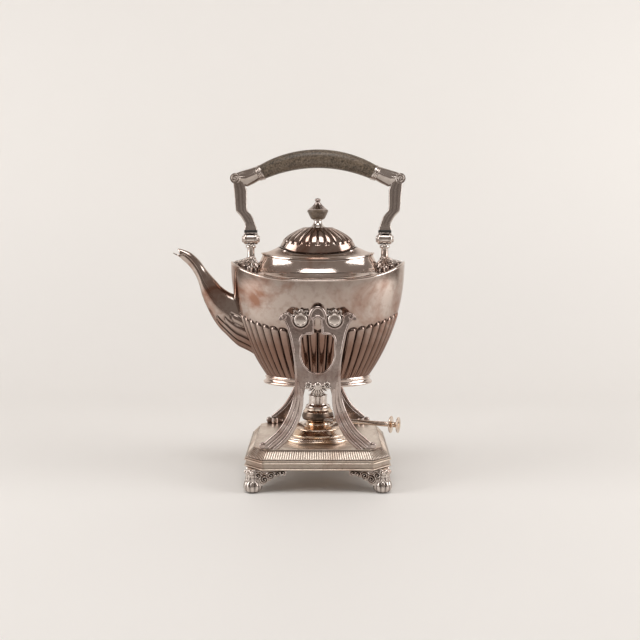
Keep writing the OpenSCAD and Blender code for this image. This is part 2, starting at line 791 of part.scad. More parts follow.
module kettle_shoulder() {
    bead = 0.9;
    ledge = 4;
    inner_a = neck_a - ledge;
    inner_b = neck_b - ledge;
    color(tarnish) loft([
        rim_edge(0, 0), rim_edge(-0.2, bead), rim_edge(0.6, top_t + 0.4), rim_edge(rim_lip, top_t),
        oval(neck_a, neck_b, neck_z, 0, body_n), oval(inner_a, inner_b, neck_z, 0, body_n),
        oval(inner_a, inner_b, neck_z - top_t, 0, body_n), rim_edge(2.6, 0)
    ], joined = true);
}

// Everything under the shoulder's top face, to seat what stands on it
module shoulder_mass() {
    lip = rim_edge(rim_lip, top_t);
    loft([level_ring(lip, rim_z - rim_lip), lip, oval(neck_a, neck_b, neck_z, 0, body_n)]);
}

// One ring of the hollow-sided neck, k of neck_steps up from its foot
neck_steps = 5;
function neck_ring(k, inset) =
    let (s = k / neck_steps, hollow = pow(s, 0.55), tip = 0.14 * s + 0.06 * (1 - s),
         a = neck_a + (mouth_a + 3 - neck_a) * hollow - inset,
         b = neck_b + (mouth_b + 2.2 - neck_b) * hollow - inset)
        oval(a, b, neck_z + neck_h * s, tip_rise * s, 64, tip);

// The neck that the lid sits on
module kettle_neck() {
    outer = [for (k = [0 : neck_steps]) neck_ring(k, 0)];
    inner = [for (k = [neck_steps : -1 : 0]) neck_ring(k, top_t + 1.4 * k / neck_steps)];
    color(tarnish) loft(concat(outer, inner), joined = true);
}

// The neck without its hollow, to seat what is soldered to its side
module neck_mass() {
    rings = [for (k = [0 : neck_steps]) neck_ring(k, 0)];
    loft(concat(rings, [level_ring(rings[neck_steps], mouth_z + tip_rise + 1)]));
}

// The port in the body, behind the spout
port_z = ring_z + spout_root_up - 4;

// A smooth curve through its first and last points, drawn towards the two between them
function curve(p, s) =
    pow(1 - s, 3) * p[0] + 3 * s * pow(1 - s, 2) * p[1] + 3 * s * s * (1 - s) * p[2] + pow(s, 3) * p[3];

// The spout's lower and upper edges, as distances from the kettle's axis and heights above the ring
root_low = spout_root_up - spout_root_r - 3;
root_high = spout_root_up + spout_root_r + 3;
lower_edge = [
    [hull_half(root_low - ring_h) - 5, root_low], [spout_reach - 23.5, root_low + 10],
    [spout_reach - 31.5, spout_up - 19], [spout_reach + spout_tip_r * 0.8, spout_up - spout_tip_r * 0.6]
];
upper_edge = [
    [hull_half(root_high - ring_h) - 9, root_high], [spout_reach - 35, root_high + 5],
    [spout_reach - 25.5, spout_up - 1.5], [spout_reach - spout_tip_r * 0.8, spout_up + spout_tip_r * 0.6]
];

// One ring of the spout, from its lower edge to its upper edge and thinner by inset
function spout_ring(s, inset, n) =
    let (low = curve(lower_edge, s), high = curve(upper_edge, s), mid = (low + high) / 2,
         up = (high - low) / norm(high - low), r = norm(high - low) / 2 - inset,
         w = spout_tip_r + (spout_root_w - spout_tip_r) * pow(1 - s, 1.3) - inset)
        [for (i = [0 : n - 1]) let (t = 360 * i / n)
            [-mid[0] - up[0] * r * cos(t), w * sin(t), ring_z + mid[1] + up[1] * r * cos(t)]];

// The spout as a solid, thinner by inset and run on by past mm at both ends
module spout_form(inset, past) {
    n = 24;
    steps = 12;
    rings = [for (k = [0 : steps]) spout_ring(k / steps, inset, n)];
    before = [for (p = rings[0]) [p[0] + past, p[1], p[2]]];
    after = [for (p = rings[steps]) [p[0] - past * 0.8, p[1], p[2] + past * 0.6]];
    loft(past > 0 ? concat([before], rings, [after]) : rings);
}

module spout() {
    color(tarnish) difference() {
        spout_form(0, 0);
        spout_form(spout_t, 4);
        body_mass();
    }
}

// A pierced plate inside the wall, over the spout's port
module spout_strainer() {
    t = 1;
    w = spout_root_w - spout_t;
    inside = hull_half(port_z - hull_z - w) - hull_t - flute_d;
    color(silver) translate([-inside, 0, port_z]) rotate([0, 90, 0])
        difference() {
            cylinder(t, r = w);
            for (x = [-2 : 2], y = [-2 : 2])
                if (norm([x, y]) < 2.6)
                    translate([x * w * 0.33, y * w * 0.33, -1]) cylinder(t + 2, r = 1, $fn = 16);
        }
}

// The foliate bracket behind each stud, cut to the body's side; sx and sy pick the stud
module stud_bracket(sx, sy) {
    front = frame_in - stud_gap;
    long = front - rim_b * 0.8;
    leaf_up = stud_leaf_w * 0.83;
    color(tarnish) difference() {
        scale_corner(sx, -sy) translate([stud_x, -front, stud_z]) rotate([-90, 0, 0]) {
            cylinder(long, r = stud_leaf_w * 0.62, $fn = 32);
            for (k = [-1, 0, 1])
                translate([k * stud_leaf_w * 0.55, -leaf_up * (k == 0 ? 1.23 : 1), 0.6])
                    cylinder(long, r = stud_leaf_w * 0.4, $fn = 20);
        }
        body_mass();
    }
}

// A stud passes through its cradle and ends in a button head outside the frame
module stud(sx, sy) {
    start = frame_in - stud_gap;
    head = frame_out + 0.25;
    color(silver) scale_corner(sx, -sy) translate([stud_x, -start, stud_z]) rotate([90, 0, 0]) {
        cylinder(head - start + 0.4, r = stud_r);
        translate([0, 0, head - start]) rotate_extrude()
            polygon([[0, 0], [stud_head_r, 0], [stud_head_r, stud_head_t * 0.5],
                     [stud_head_r - 0.9, stud_head_t], [0, stud_head_t * 0.8]]);
    }
}

// The leaf-shaped plate that spreads the post's load over the end of the kettle
post_foot_h = 5;

module post_plate(side) {
    z = rim_z + rim_rise + top_t;
    deep = z - neck_z + 1;
    arc_r = (pow(post_leaf_l, 2) + pow(post_leaf_w, 2)) / (2 * post_leaf_w);
    tip_in = 1.5;
    middle = rim_a - tip_in - post_leaf_l;
    color(tarnish) difference() {
        mirror([side < 0 ? 1 : 0, 0, 0]) {
            translate([0, 0, z - deep]) linear_extrude(deep + 1) intersection() {
                translate([middle, post_leaf_w - arc_r]) circle(arc_r);
                translate([middle, arc_r - post_leaf_w]) circle(arc_r);
                translate([post_x - post_r, -arc_r]) square([2 * post_leaf_l, 2 * arc_r]);
            }
            translate([post_x, 0, z]) cylinder(post_foot_h, r1 = post_leaf_w, r2 = post_r + 0.6);
        }
        shoulder_mass();
        neck_mass();
    }
}

// A turned post with a collar and the eye that the handle pivots on
module handle_post(side) {
    foot = rim_z + rim_rise + top_t + post_foot_h;
    neck = pivot_z - knuckle_r;
    neck_half = sqrt(pow(knuckle_r, 2) - pow(knuckle_r - cheek_cut, 2));
    color(silver) translate([side * post_x, 0, 0]) difference() {
        union() {
            translate([0, 0, foot]) cylinder(neck - foot, r = post_r);
            translate([0, 0, foot]) cylinder(1.6, r1 = post_r + 0.6, r2 = post_r);
            translate([0, 0, neck - 4.6]) cylinder(1.6, r1 = post_r, r2 = post_r + 1.3);
            translate([0, 0, neck - 3]) cylinder(2, r = post_r + 1.3);
            intersection() {
                translate([0, 0, neck - 1.2]) cylinder(3, r = post_r);
                translate([-eye_w / 2, -neck_half, neck - 2]) cube([eye_w, 2 * neck_half, 6]);
            }
            translate([-eye_w / 2, 0, pivot_z]) rotate([0, 90, 0]) cylinder(eye_w, r = knuckle_r - 0.4);
        }
        translate([-eye_w, 0, pivot_z]) rotate([0, 90, 0])
            cylinder(2 * eye_w, r = pivot_r + run_fit);
    }
}

// The bridge over the eye: its height above the knuckle, and how much narrower it is on each side
bridge = 1.4;
cheek_cut = 0.8;

// The two cheeks of the clevis, joined over the eye
module knuckle(side) {
    gap = seam;
    cheek = (knuckle_w - eye_w) / 2 - gap;
    color(silver) translate([side * post_x, 0, pivot_z]) difference() {
        union() {
            for (s = [-1, 1])
                translate([s * (knuckle_w - cheek) / 2, 0, 0]) rotate([0, 90, 0])
                    cylinder(cheek, r = knuckle_r, center = true);
            difference() {
                translate([-knuckle_w / 2 + 0.6, cheek_cut - knuckle_r, 0])
                    cube([knuckle_w - 1.2, 2 * (knuckle_r - cheek_cut), knuckle_r + bridge]);
                rotate([0, 90, 0]) cylinder(eye_w + 2 * gap, r = knuckle_r + 0.1, center = true);
            }
        }
        rotate([0, 90, 0]) cylinder(2 * knuckle_w, r = pivot_r + run_fit, center = true);
    }
}

module pivot_pin(side) {
    head = 1.2;
    color(silver) translate([side * post_x, 0, pivot_z]) rotate([0, 90, 0]) {
        cylinder(knuckle_w + 1, r = pivot_r, center = true);
        for (s = [-1, 1]) translate([0, 0, s * (knuckle_w + head) / 2])
            cylinder(head, r = pivot_r + 1.4, center = true);
    }
}

// Heights above the pivot: the insulator sits on the knuckle, the strut on the insulator
insulator_up = knuckle_r + bridge;
strut_up = insulator_up + band_t;

module insulator(side) {
    color(black) translate([side * post_x, 0, pivot_z + insulator_up])
        linear_extrude(band_t) square([strut_w + 0.8, strut_t + 0.8], center = true);
}

// A flat strap that steps outwards at the elbow and ends in a volute scroll
module strut(side) {
    w = strut_w / 2;
    out = elbow_out;
    low = strut_up;
    neck_w = w - 0.6;
    scroll_x = strut_scroll_x;
    edge = 1.2;
    color(silver) mirror([side < 0 ? 1 : 0, 0, 0]) translate([post_x, 0, pivot_z]) {
        translate([0, 0, low]) linear_extrude(2) square([strut_w + 0.6, strut_t + 0.6], center = true);
        intersection() {
            rotate([90, 0, 0]) linear_extrude(strut_t, center = true) polygon([
                [-neck_w, low], [neck_w, low], [neck_w, low + 5.6], [neck_w + 2, low + 10.4],
                [neck_w + 5.6, low + 14.8], [out + w - 1, low + 18], [out + w, low + 22],
                [out + w, scroll_up - 4], [out - w, scroll_up - 4], [out - w, low + 18],
                [out - w - 2.4, low + 14.4], [-neck_w + 2, low + 10.4], [-neck_w + 0.4, low + 5.6]]);
            rotate([0, 0, 90]) rotate([90, 0, 0]) linear_extrude(4 * strut_w, center = true)
                polygon([[-strut_t / 2 + edge, -1], [strut_t / 2 - edge, -1], [strut_t / 2, low + 4],
                         [strut_t / 2, scroll_up + 20], [-strut_t / 2, scroll_up + 20],
                         [-strut_t / 2, low + 4]]);
        }
        translate([scroll_x, 0, scroll_up]) rotate([90, 0, 0]) {
            cylinder(strut_t + 1, r = scroll_r, center = true);
            cylinder(strut_t + 2.4, r = scroll_r * 0.45, center = true);
        }
    }
}

strut_scroll_x = 13.4;

// The grip's axis is an arc; turn is the angle from its middle to a point at x
function grip_turn(x) = asin(x / grip_arch);
grip_end_turn = grip_turn(grip_half);

// Moves its children to the arc's point at turn degrees, with +Z along the arc outwards
module on_grip_arc(side, turn) {
    mirror([side < 0 ? 1 : 0, 0, 0])
        translate([0, 0, pivot_z + grip_up - grip_arch]) rotate([0, turn, 0])
            translate([0, 0, grip_arch]) rotate([0, 90, 0]) children();
}

// Two rings on the end of the grip, then a tapering horn that ends against the scroll
module ferrule(side) {
    r = grip_end_r;
    ring_l = 2.6;
    run = post_x + strut_scroll_x - grip_arch * sin(grip_end_turn);
    fall = grip_up - grip_arch * (1 - cos(grip_end_turn)) - scroll_up;
    bend = atan2(fall, run) - grip_end_turn;
    color(silver) difference() {
        on_grip_arc(side, grip_end_turn) {
            cylinder(1.6, r = r + 0.9);
            translate([0, 0, 1.6]) cylinder(1, r = r);
            translate([0, 0, ring_l]) {
                cylinder(1.6, r = r + 0.6);
                rotate([0, bend, 0])
                    cylinder(norm([run, fall]) - ring_l, r1 = r - 0.8, r2 = scroll_r * 0.7);
            }
        }
        translate([side * (post_x + strut_scroll_x), 0, pivot_z + scroll_up]) rotate([90, 0, 0])
            cylinder(2 * strut_t, r = scroll_r + run_fit, center = true);
        translate([side * (post_x + strut_scroll_x + scroll_r), 0, pivot_z + scroll_up])
            cube(2 * scroll_r, center = true);
    }
}

module grip() {
    n = 20;
    steps = 14;
    function row(k) =
        let (u = 2 * k / steps - 1, turn = u * grip_end_turn,
             r = grip_r + (grip_end_r - grip_r) * u * u)
            [for (i = [0 : n - 1]) let (t = 360 * i / n, reach = grip_arch + r * cos(t))
                [reach * sin(turn), -r * sin(t),
                 pivot_z + grip_up - grip_arch + reach * cos(turn)]];
    color(dark) loft([for (k = [0 : steps]) row(k)]);
}

// The lid's flange and the hollow rise up to the dome
module lid_plate() {
    n = 64;
    steps = 4;
    point = 0.14;
    fit = 1 + (dome_roll + seam / 2) / dome_a;
    flange_a = lid_a - flange_w - 1;
    flange_b = lid_b - flange_w;
    function rise_row(k, up, grow) =
        let (s = k / steps, a = flange_a + (dome_a * fit - flange_a) * pow(s, 0.7) + grow,
             b = flange_b + (dome_b * fit - flange_b) * pow(s, 0.7) + grow)
            oval(a, b, lid_z + up + dome_foot * s * s, tip_rise + (dome_rise - tip_rise) * s, n,
                 point * (1 - s));
    top = [for (k = [0 : steps]) rise_row(k, top_t, 0)];
    under = [for (k = [steps : -1 : 0]) rise_row(k, 0, k == steps ? 0 : -top_t * 0.6)];
    color(tarnish) loft(concat(
        [oval(lid_a, lid_b, lid_z, tip_rise, n, point)],
        [oval(lid_a, lid_b, lid_z + top_t * 0.8, tip_rise, n, point)],
        top, under), joined = true);
}

// How far the plain roll at the dome's foot stands out
dome_roll = 1.2;

// One ring of the dome, share of its full size, with grooves of that depth between the gadroons
function dome_ring(share, z, groove) = [
    for (i = [0 : 2 * gadroons - 1])
        let (t = 180 * i / gadroons, d = i % 2 == 1 ? groove : 0)
            [(dome_a * share - d) * cos(t), (dome_b * share - d) * sin(t),
             z + dome_rise * endness(t) * max(0, 2 * share - 1)]];

// The dome's height at an angle of its arch, and the small flat top
function dome_up(turn) = dome_z + top_t + (dome_h - top_t) * sin(turn);
dome_top = [dome_ring(cos(66), dome_up(66), gadroon_d * 0.8), dome_ring(cos(76), dome_up(76), 0),
            dome_ring(0.1, dome_up(86), 0)];

// The dome: a hollow shell with a plain roll at its foot, then gadroons up to a small plain top
module lid_dome() {
    hollow = 1 - 2 * top_t / dome_a;
    inside = [dome_ring(0.1, dome_up(64), 0), dome_ring(cos(66) * 0.9, dome_up(58), 0),
              dome_ring(cos(40) * hollow, dome_up(36), 0), dome_ring(hollow, dome_up(8), 0),
              dome_ring(hollow, dome_z, 0)];
    foot = [dome_ring(1, dome_z, 0), dome_ring(1 + dome_roll / dome_a, dome_z + top_t, 0),
            dome_ring(1, dome_up(14), 0)];
    gadrooned = [dome_ring(cos(22), dome_up(22), gadroon_d * 0.6),
                 dome_ring(cos(36), dome_up(36), gadroon_d), dome_ring(cos(52), dome_up(52), gadroon_d)];
    color(tarnish) loft(concat(inside, foot, gadrooned, dome_top));
}

// The dome's crown as a solid, to seat the finial on it
module crown_mass() {
    loft(concat([level_ring(dome_top[0], dome_z)], dome_top));
}

// The sleeve under the lid that drops into the mouth
module lid_bezel() {
    n = 64;
    slack = 1.4;
    a = mouth_a - slack;
    b = mouth_b - slack;
    point = 0.12;
    color(tarnish) loft([
        oval(a - top_t, b - top_t, lid_z - bezel_h, tip_rise, n, point),
        oval(a, b, lid_z - bezel_h, tip_rise, n, point), oval(a, b, lid_z, tip_rise, n, point),
        oval(a - top_t, b - top_t, lid_z, tip_rise, n, point)
    ], joined = true);
}

// Hinge knuckles: the fixed leaf has the two outer ones, the moving leaf the middle one
hinge_slot = 0.3;
middle_l = hinge_l / 2;

module lid_hinge_fixed_leaf() {
    outer_l = (hinge_l - middle_l) / 2 - hinge_slot;
    drop = 7;
    reach = hinge_y - mouth_b;
    color(silver) difference() {
        union() {
            for (s = [-1, 1])
                translate([s * (hinge_l - outer_l) / 2, hinge_y, hinge_z]) rotate([0, 90, 0])
                    cylinder(outer_l, r = leaf_r, center = true);
            for (s = [-1, 1])
                translate([s * (hinge_l - outer_l) / 2 - outer_l / 2, hinge_y - 1, hinge_z - drop])
                    cube([outer_l, leaf_r + 0.6, drop]);
            translate([-hinge_l / 2, mouth_b, hinge_z - drop])
                cube([hinge_l, reach + leaf_r - 0.4, 2]);
        }
        neck_mass();
        translate([0, hinge_y, hinge_z]) rotate([0, 90, 0])
            cylinder(2 * hinge_l, r = hinge_pin_r + run_fit, center = true);
    }
}

module lid_hinge_pin() {
    head = 0.8;
    color(silver) translate([0, hinge_y, hinge_z]) rotate([0, 90, 0]) {
        cylinder(hinge_l + 1, r = hinge_pin_r, center = true);
        for (s = [-1, 1]) translate([0, 0, s * (hinge_l + head) / 2])
            cylinder(head, r = leaf_r - 0.4, center = true);
    }
}

module lid_hinge_moving_leaf() {
    plate = 1.1;
    color(silver) difference() {
        union() {
            translate([0, hinge_y, hinge_z]) rotate([0, 90, 0])
                cylinder(middle_l, r = leaf_r, center = true);
            translate([-middle_l / 2, lid_b - flange_w, lid_z + top_t])
                cube([middle_l, hinge_y - lid_b + flange_w, plate]);
        }
        translate([0, hinge_y, hinge_z]) rotate([0, 90, 0])
            cylinder(2 * middle_l, r = hinge_pin_r + run_fit, center = true);
    }
}

module finial_stem() {
    skirt = 1.4;
    color(silver) difference() {
        translate([0, 0, finial_z]) rotate_extrude()
            polygon([[0, -skirt], [stem_r + 3.4, -skirt], [stem_r + 3.4, -0.2], [stem_r + 2.6, 0.6],
                     [stem_r + 0.4, 1.4], [stem_r - 0.6, stem_h * 0.55], [stem_r + 0.6, stem_h * 0.75],
                     [stem_r + 0.6, stem_h * 0.85], [stem_r, stem_h], [0, stem_h]]);
        crown_mass();
    }
}

module finial_bowl() {
    z = finial_z + stem_h;
    color(dark) translate([0, 0, z]) rotate_extrude()
        polygon([[0, 0], [stem_r + 1.6, 0], [bowl_r * 0.8, bowl_h * 0.34],
                 [bowl_r - 0.5, bowl_h * 0.52], [bowl_r, bowl_h * 0.6], [bowl_r - 0.3, bowl_h * 0.66],
                 [bowl_r * 0.55, bowl_h * 0.84], [1.9, bowl_h], [0, bowl_h]]);
}

module finial_button() {
    z = finial_z + stem_h + bowl_h;
    color(silver) translate([0, 0, z]) {
        cylinder(1.4, r = 1.5);
        translate([0, 0, ball_r + 0.8]) sphere(ball_r);
        translate([0, 0, 2 * ball_r + 0.5]) cylinder(1.2, r1 = 1, r2 = 0.3);
    }
}

base_plate();
base_border();
corner_foot(-1, -1);  // foot_front_left
corner_foot(1, -1);  // foot_front_right
corner_foot(-1, 1);  // foot_back_left
corner_foot(1, 1);  // foot_back_right
foot_screws();
front_frame();
back_frame();
front_shell();
back_shell();
frame_screws();
lamp_font();
lamp_collar();
wick_tube();
winder_bush();
wick();
winder_rod();
winder_knob();
wick_wheel();
kettle_body();
kettle_foot();
kettle_shoulder();
kettle_neck();
spout();
spout_strainer();
stud_bracket(-1, -1);  // stud_bracket_front_left
stud_bracket(1, -1);  // stud_bracket_front_right
stud_bracket(-1, 1);  // stud_bracket_back_left
stud_bracket(1, 1);  // stud_bracket_back_right
stud(-1, -1);  // stud_front_left
stud(1, -1);  // stud_front_right
stud(-1, 1);  // stud_back_left
stud(1, 1);  // stud_back_right
post_plate(-1);  // post_plate_left
post_plate(1);  // post_plate_right
handle_post(-1);  // handle_post_left
handle_post(1);  // handle_post_right
lid_hinge_fixed_leaf();
lid_hinge_pin();
lid_plate();
lid_dome();
lid_bezel();
lid_hinge_moving_leaf();
finial_stem();
finial_bowl();
finial_button();
knuckle(-1);  // knuckle_left
knuckle(1);  // knuckle_right
pivot_pin(-1);  // pivot_pin_left
pivot_pin(1);  // pivot_pin_right
insulator(-1);  // insulator_left
insulator(1);  // insulator_right
strut(-1);  // strut_left
strut(1);  // strut_right
ferrule(-1);  // ferrule_left
ferrule(1);  // ferrule_right
grip();
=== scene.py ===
import math

import bpy
import numpy as np
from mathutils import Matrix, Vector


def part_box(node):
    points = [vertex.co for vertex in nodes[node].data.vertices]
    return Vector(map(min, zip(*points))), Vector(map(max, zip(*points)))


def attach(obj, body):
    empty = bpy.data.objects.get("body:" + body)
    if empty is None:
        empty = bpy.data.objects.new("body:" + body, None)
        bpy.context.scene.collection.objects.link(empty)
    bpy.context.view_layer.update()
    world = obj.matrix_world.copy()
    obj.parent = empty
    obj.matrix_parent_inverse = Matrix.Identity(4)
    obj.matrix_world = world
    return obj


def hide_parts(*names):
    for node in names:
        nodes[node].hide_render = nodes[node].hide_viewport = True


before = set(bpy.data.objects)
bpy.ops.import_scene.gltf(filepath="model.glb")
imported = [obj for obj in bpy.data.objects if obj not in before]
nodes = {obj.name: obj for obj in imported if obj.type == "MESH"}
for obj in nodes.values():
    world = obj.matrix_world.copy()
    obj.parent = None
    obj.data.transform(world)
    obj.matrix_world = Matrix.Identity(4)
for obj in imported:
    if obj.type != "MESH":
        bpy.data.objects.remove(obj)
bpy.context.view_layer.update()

# The view: a normal lens at table height, looking slightly down at the kettle's front.
EYE = (0.002, -0.814, 0.232)
PITCH_DOWN = 6.1
camera = bpy.data.objects.new("camera", bpy.data.cameras.new("camera"))
camera.data.lens = 50
camera.data.sensor_width = 36
camera.location = EYE
camera.rotation_euler = (math.radians(90 - PITCH_DOWN), 0, 0)
bpy.context.scene.collection.objects.link(camera)
bpy.context.scene.camera = camera
bpy.context.scene.view_settings.view_transform = "Standard"


# The studio: a pale sheet that lies flat and bends up behind the kettle, a dim warm room and
# three soft lamps. Polished silver shows the room, so the room is darker than the sheet.
def soft_lamp(name, place, aim, width, height, power):
    """A rectangular lamp at place whose face looks at aim."""
    lamp = bpy.data.objects.new(name, bpy.data.lights.new(name, "AREA"))
    lamp.data.shape = "RECTANGLE"
    lamp.data.size, lamp.data.size_y = width, height
    lamp.data.energy = power
    lamp.location = place
    toward = Vector(aim) - Vector(place)
    lamp.rotation_euler = toward.to_track_quat("-Z", "Y").to_euler()
    bpy.context.scene.collection.objects.link(lamp)


soft_lamp("lamp_left", (-1.15, -0.35, 0.6), (0, 0, 0.15), 0.8, 1.0, 9)
soft_lamp("lamp_right", (1.2, -0.3, 0.6), (0, 0, 0.15), 0.8, 1.0, 10)
soft_lamp("lamp_above", (0.0, -0.5, 1.3), (0, 0, 0.15), 0.7, 0.5, 5)

sheet_depth = np.concatenate([[-1.6, 0.35], 0.35 + 0.35 * np.sin(np.linspace(0.1, math.pi / 2, 12)), [0.7]])
sheet_height = np.concatenate([[0, 0], 0.35 - 0.35 * np.cos(np.linspace(0.1, math.pi / 2, 12)), [2.2]])
sheet_side = np.array([-2.2, 2.2])
sheet_points = np.stack([np.tile(sheet_side, len(sheet_depth)), np.repeat(sheet_depth, 2),
                         np.repeat(sheet_height, 2)], axis=1)
step = np.arange(len(sheet_depth) - 1) * 2
sheet_faces = np.stack([step, step + 1, step + 3, step + 2], axis=1)
sheet_mesh = bpy.data.meshes.new("floor")
sheet_mesh.from_pydata(sheet_points.tolist(), [], sheet_faces.tolist())
sheet_mesh.polygons.foreach_set("use_smooth", [True] * len(sheet_faces))
floor = bpy.data.objects.new("floor", sheet_mesh)
bpy.context.scene.collection.objects.link(floor)
floor_finish = bpy.data.materials.new("floor_paper")
floor_finish.use_nodes = True
floor_finish.node_tree.nodes["Principled BSDF"].inputs["Base Color"].default_value = (0.84, 0.82, 0.79, 1)
floor_finish.node_tree.nodes["Principled BSDF"].inputs["Roughness"].default_value = 0.6
sheet_mesh.materials.append(floor_finish)

room = bpy.data.worlds.new("room")
room.use_nodes = True
room.node_tree.nodes["Background"].inputs["Color"].default_value = (0.25, 0.215, 0.195, 1)
room.node_tree.nodes["Background"].inputs["Strength"].default_value = 1.0
bpy.context.scene.world = room

# Base plate: stamped silver-plated pan with cut corners. A flat band with a half-round moulding
# along each edge carries a slope, and the flat top has a round well for the lamp.
MM = 0.001
base_lo, base_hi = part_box("base_plate")
BASE_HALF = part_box("base_border")[1].x / MM
BASE_CUT = 15.5
BASE_LOW = base_lo.z / MM
BASE_TOP = base_hi.z / MM
BAND_H = 7.5
SLOPE_RUN = 8.7
BEAD = 1.05
WELL_R = 34.0


def octagon_line(inset, long_count, cut_count):
    """Points along a square with cut corners, drawn in by inset: each side is a straight blend of
    its two corners, with more points on the long sides than on the cut ones."""
    h = BASE_HALF - inset
    c = h - (BASE_CUT - 0.586 * inset)
    corner = np.array([[h, -c], [h, c], [c, h], [-c, h], [-h, c], [-h, -c], [-c, -h], [c, -h]])
    sides = []
    for k in range(8):
        share = np.linspace(0, 1, long_count if k % 2 == 0 else cut_count, endpoint=False)[:, None]
        sides.append(corner[k] * (1 - share) + corner[(k + 1) % 8] * share)
    return np.concatenate(sides)


def octagon_rings(inset, height, long_count, cut_count):
    """Rings round the base: the outline moves in evenly with inset, so each point is its place at
    inset 0 plus inset times its move per mm. inset and height have a row per ring."""
    start = octagon_line(0, long_count, cut_count)
    move = octagon_line(1, long_count, cut_count) - start
    inset = np.broadcast_to(np.asarray(inset, float), (len(height), len(start)))
    height = np.broadcast_to(np.asarray(height, float), inset.shape)
    flat = start[None] + inset[..., None] * move[None]
    return np.concatenate([flat, height[..., None]], axis=2)


def outward(points, faces, shade):
    """Turns every face round if the skin's signed volume is negative, so that faces look out."""
    a, b, c = (points[faces[:, k]] for k in range(3))
    d = points[np.where(faces[:, 3] < 0, faces[:, 2], faces[:, 3])]
    volume = (np.cross(a, b) * c).sum() + (np.cross(a, c) * d).sum()
    if volume < 0:
        turned = faces[:, ::-1].copy()
        short = faces[:, 3] < 0
        turned[short] = np.stack([faces[short, 2], faces[short, 1], faces[short, 0], faces[short, 3]],
                                 axis=1)
        faces = turned
    return points, faces, shade


def loft(rings, joined=False, painted_shade=None):
    """A closed skin through rings of points, rows by points by 3: neighbours are joined by quads.
    It ends in fans to the middle of the first and last ring, or joins the last ring to the first."""
    rows, count = rings.shape[:2]
    grid = np.arange(rows * count).reshape(rows, count)
    low = grid if joined else grid[:-1]
    high = np.roll(grid, -1, axis=0) if joined else grid[1:]
    faces = np.stack([low, np.roll(low, -1, axis=1), np.roll(high, -1, axis=1), high], axis=2).reshape(-1, 4)
    points = rings.reshape(-1, 3)
    shade = np.zeros(rows * count) if painted_shade is None else np.broadcast_to(painted_shade, (rows, count)).ravel()
    if not joined:
        middle = np.stack([rings[0].mean(0), rings[-1].mean(0)])
        bottom, top, empty = rows * count, rows * count + 1, np.full(count, -1)
        fans = [np.stack([np.roll(grid[0], -1), grid[0], np.full(count, bottom), empty], axis=1),
                np.stack([grid[-1], np.roll(grid[-1], -1), np.full(count, top), empty], axis=1)]
        faces = np.concatenate([faces, *fans])
        points = np.concatenate([points, middle])
        shade = np.concatenate([shade, [shade[:count].mean(), shade[-count:].mean()]])
    return outward(points, faces, shade)


def piece(name, shapes, finish, body, slot, *replaced, sharp=40):
    """One object from several closed skins in mm. Its faces are smooth but for edges over sharp
    degrees, and a point attribute holds each point's share of painted shade, most in grooves, from 0 to 1."""
    starts = np.cumsum([0] + [len(s[0]) for s in shapes[:-1]])
    points = np.concatenate([s[0] for s in shapes]) * MM
    faces = np.concatenate([np.where(s[1] < 0, -1, s[1] + start) for s, start in zip(shapes, starts)])
    sizes = (faces >= 0).sum(1)
    corners = faces[faces >= 0]
    mesh = bpy.data.meshes.new(name)
    mesh.vertices.add(len(points))
    mesh.vertices.foreach_set("co", points.ravel())
    mesh.loops.add(len(corners))
    mesh.loops.foreach_set("vertex_index", corners)
    mesh.polygons.add(len(faces))
    mesh.polygons.foreach_set("loop_start", np.concatenate([[0], np.cumsum(sizes)[:-1]]))
    mesh.polygons.foreach_set("loop_total", sizes)
    mesh.update(calc_edges=True)
    mesh.polygons.foreach_set("use_smooth", np.ones(len(faces), bool))
    # Painted shade: each point's share of the dark tone that the finish paints into grooves and hollows.
    painted_shade = mesh.attributes.new("painted_shade", "FLOAT", "POINT")
    painted_shade.data.foreach_set("value", np.concatenate([s[2] for s in shapes]).astype(np.float32))
    mesh.set_sharp_from_angle(angle=math.radians(sharp))
    mesh.materials.append(finish)
    made = bpy.data.objects.new(name, mesh)
    bpy.context.scene.collection.objects.link(made)
    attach(made, body)
    if replaced:
        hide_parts(*replaced)
    return made


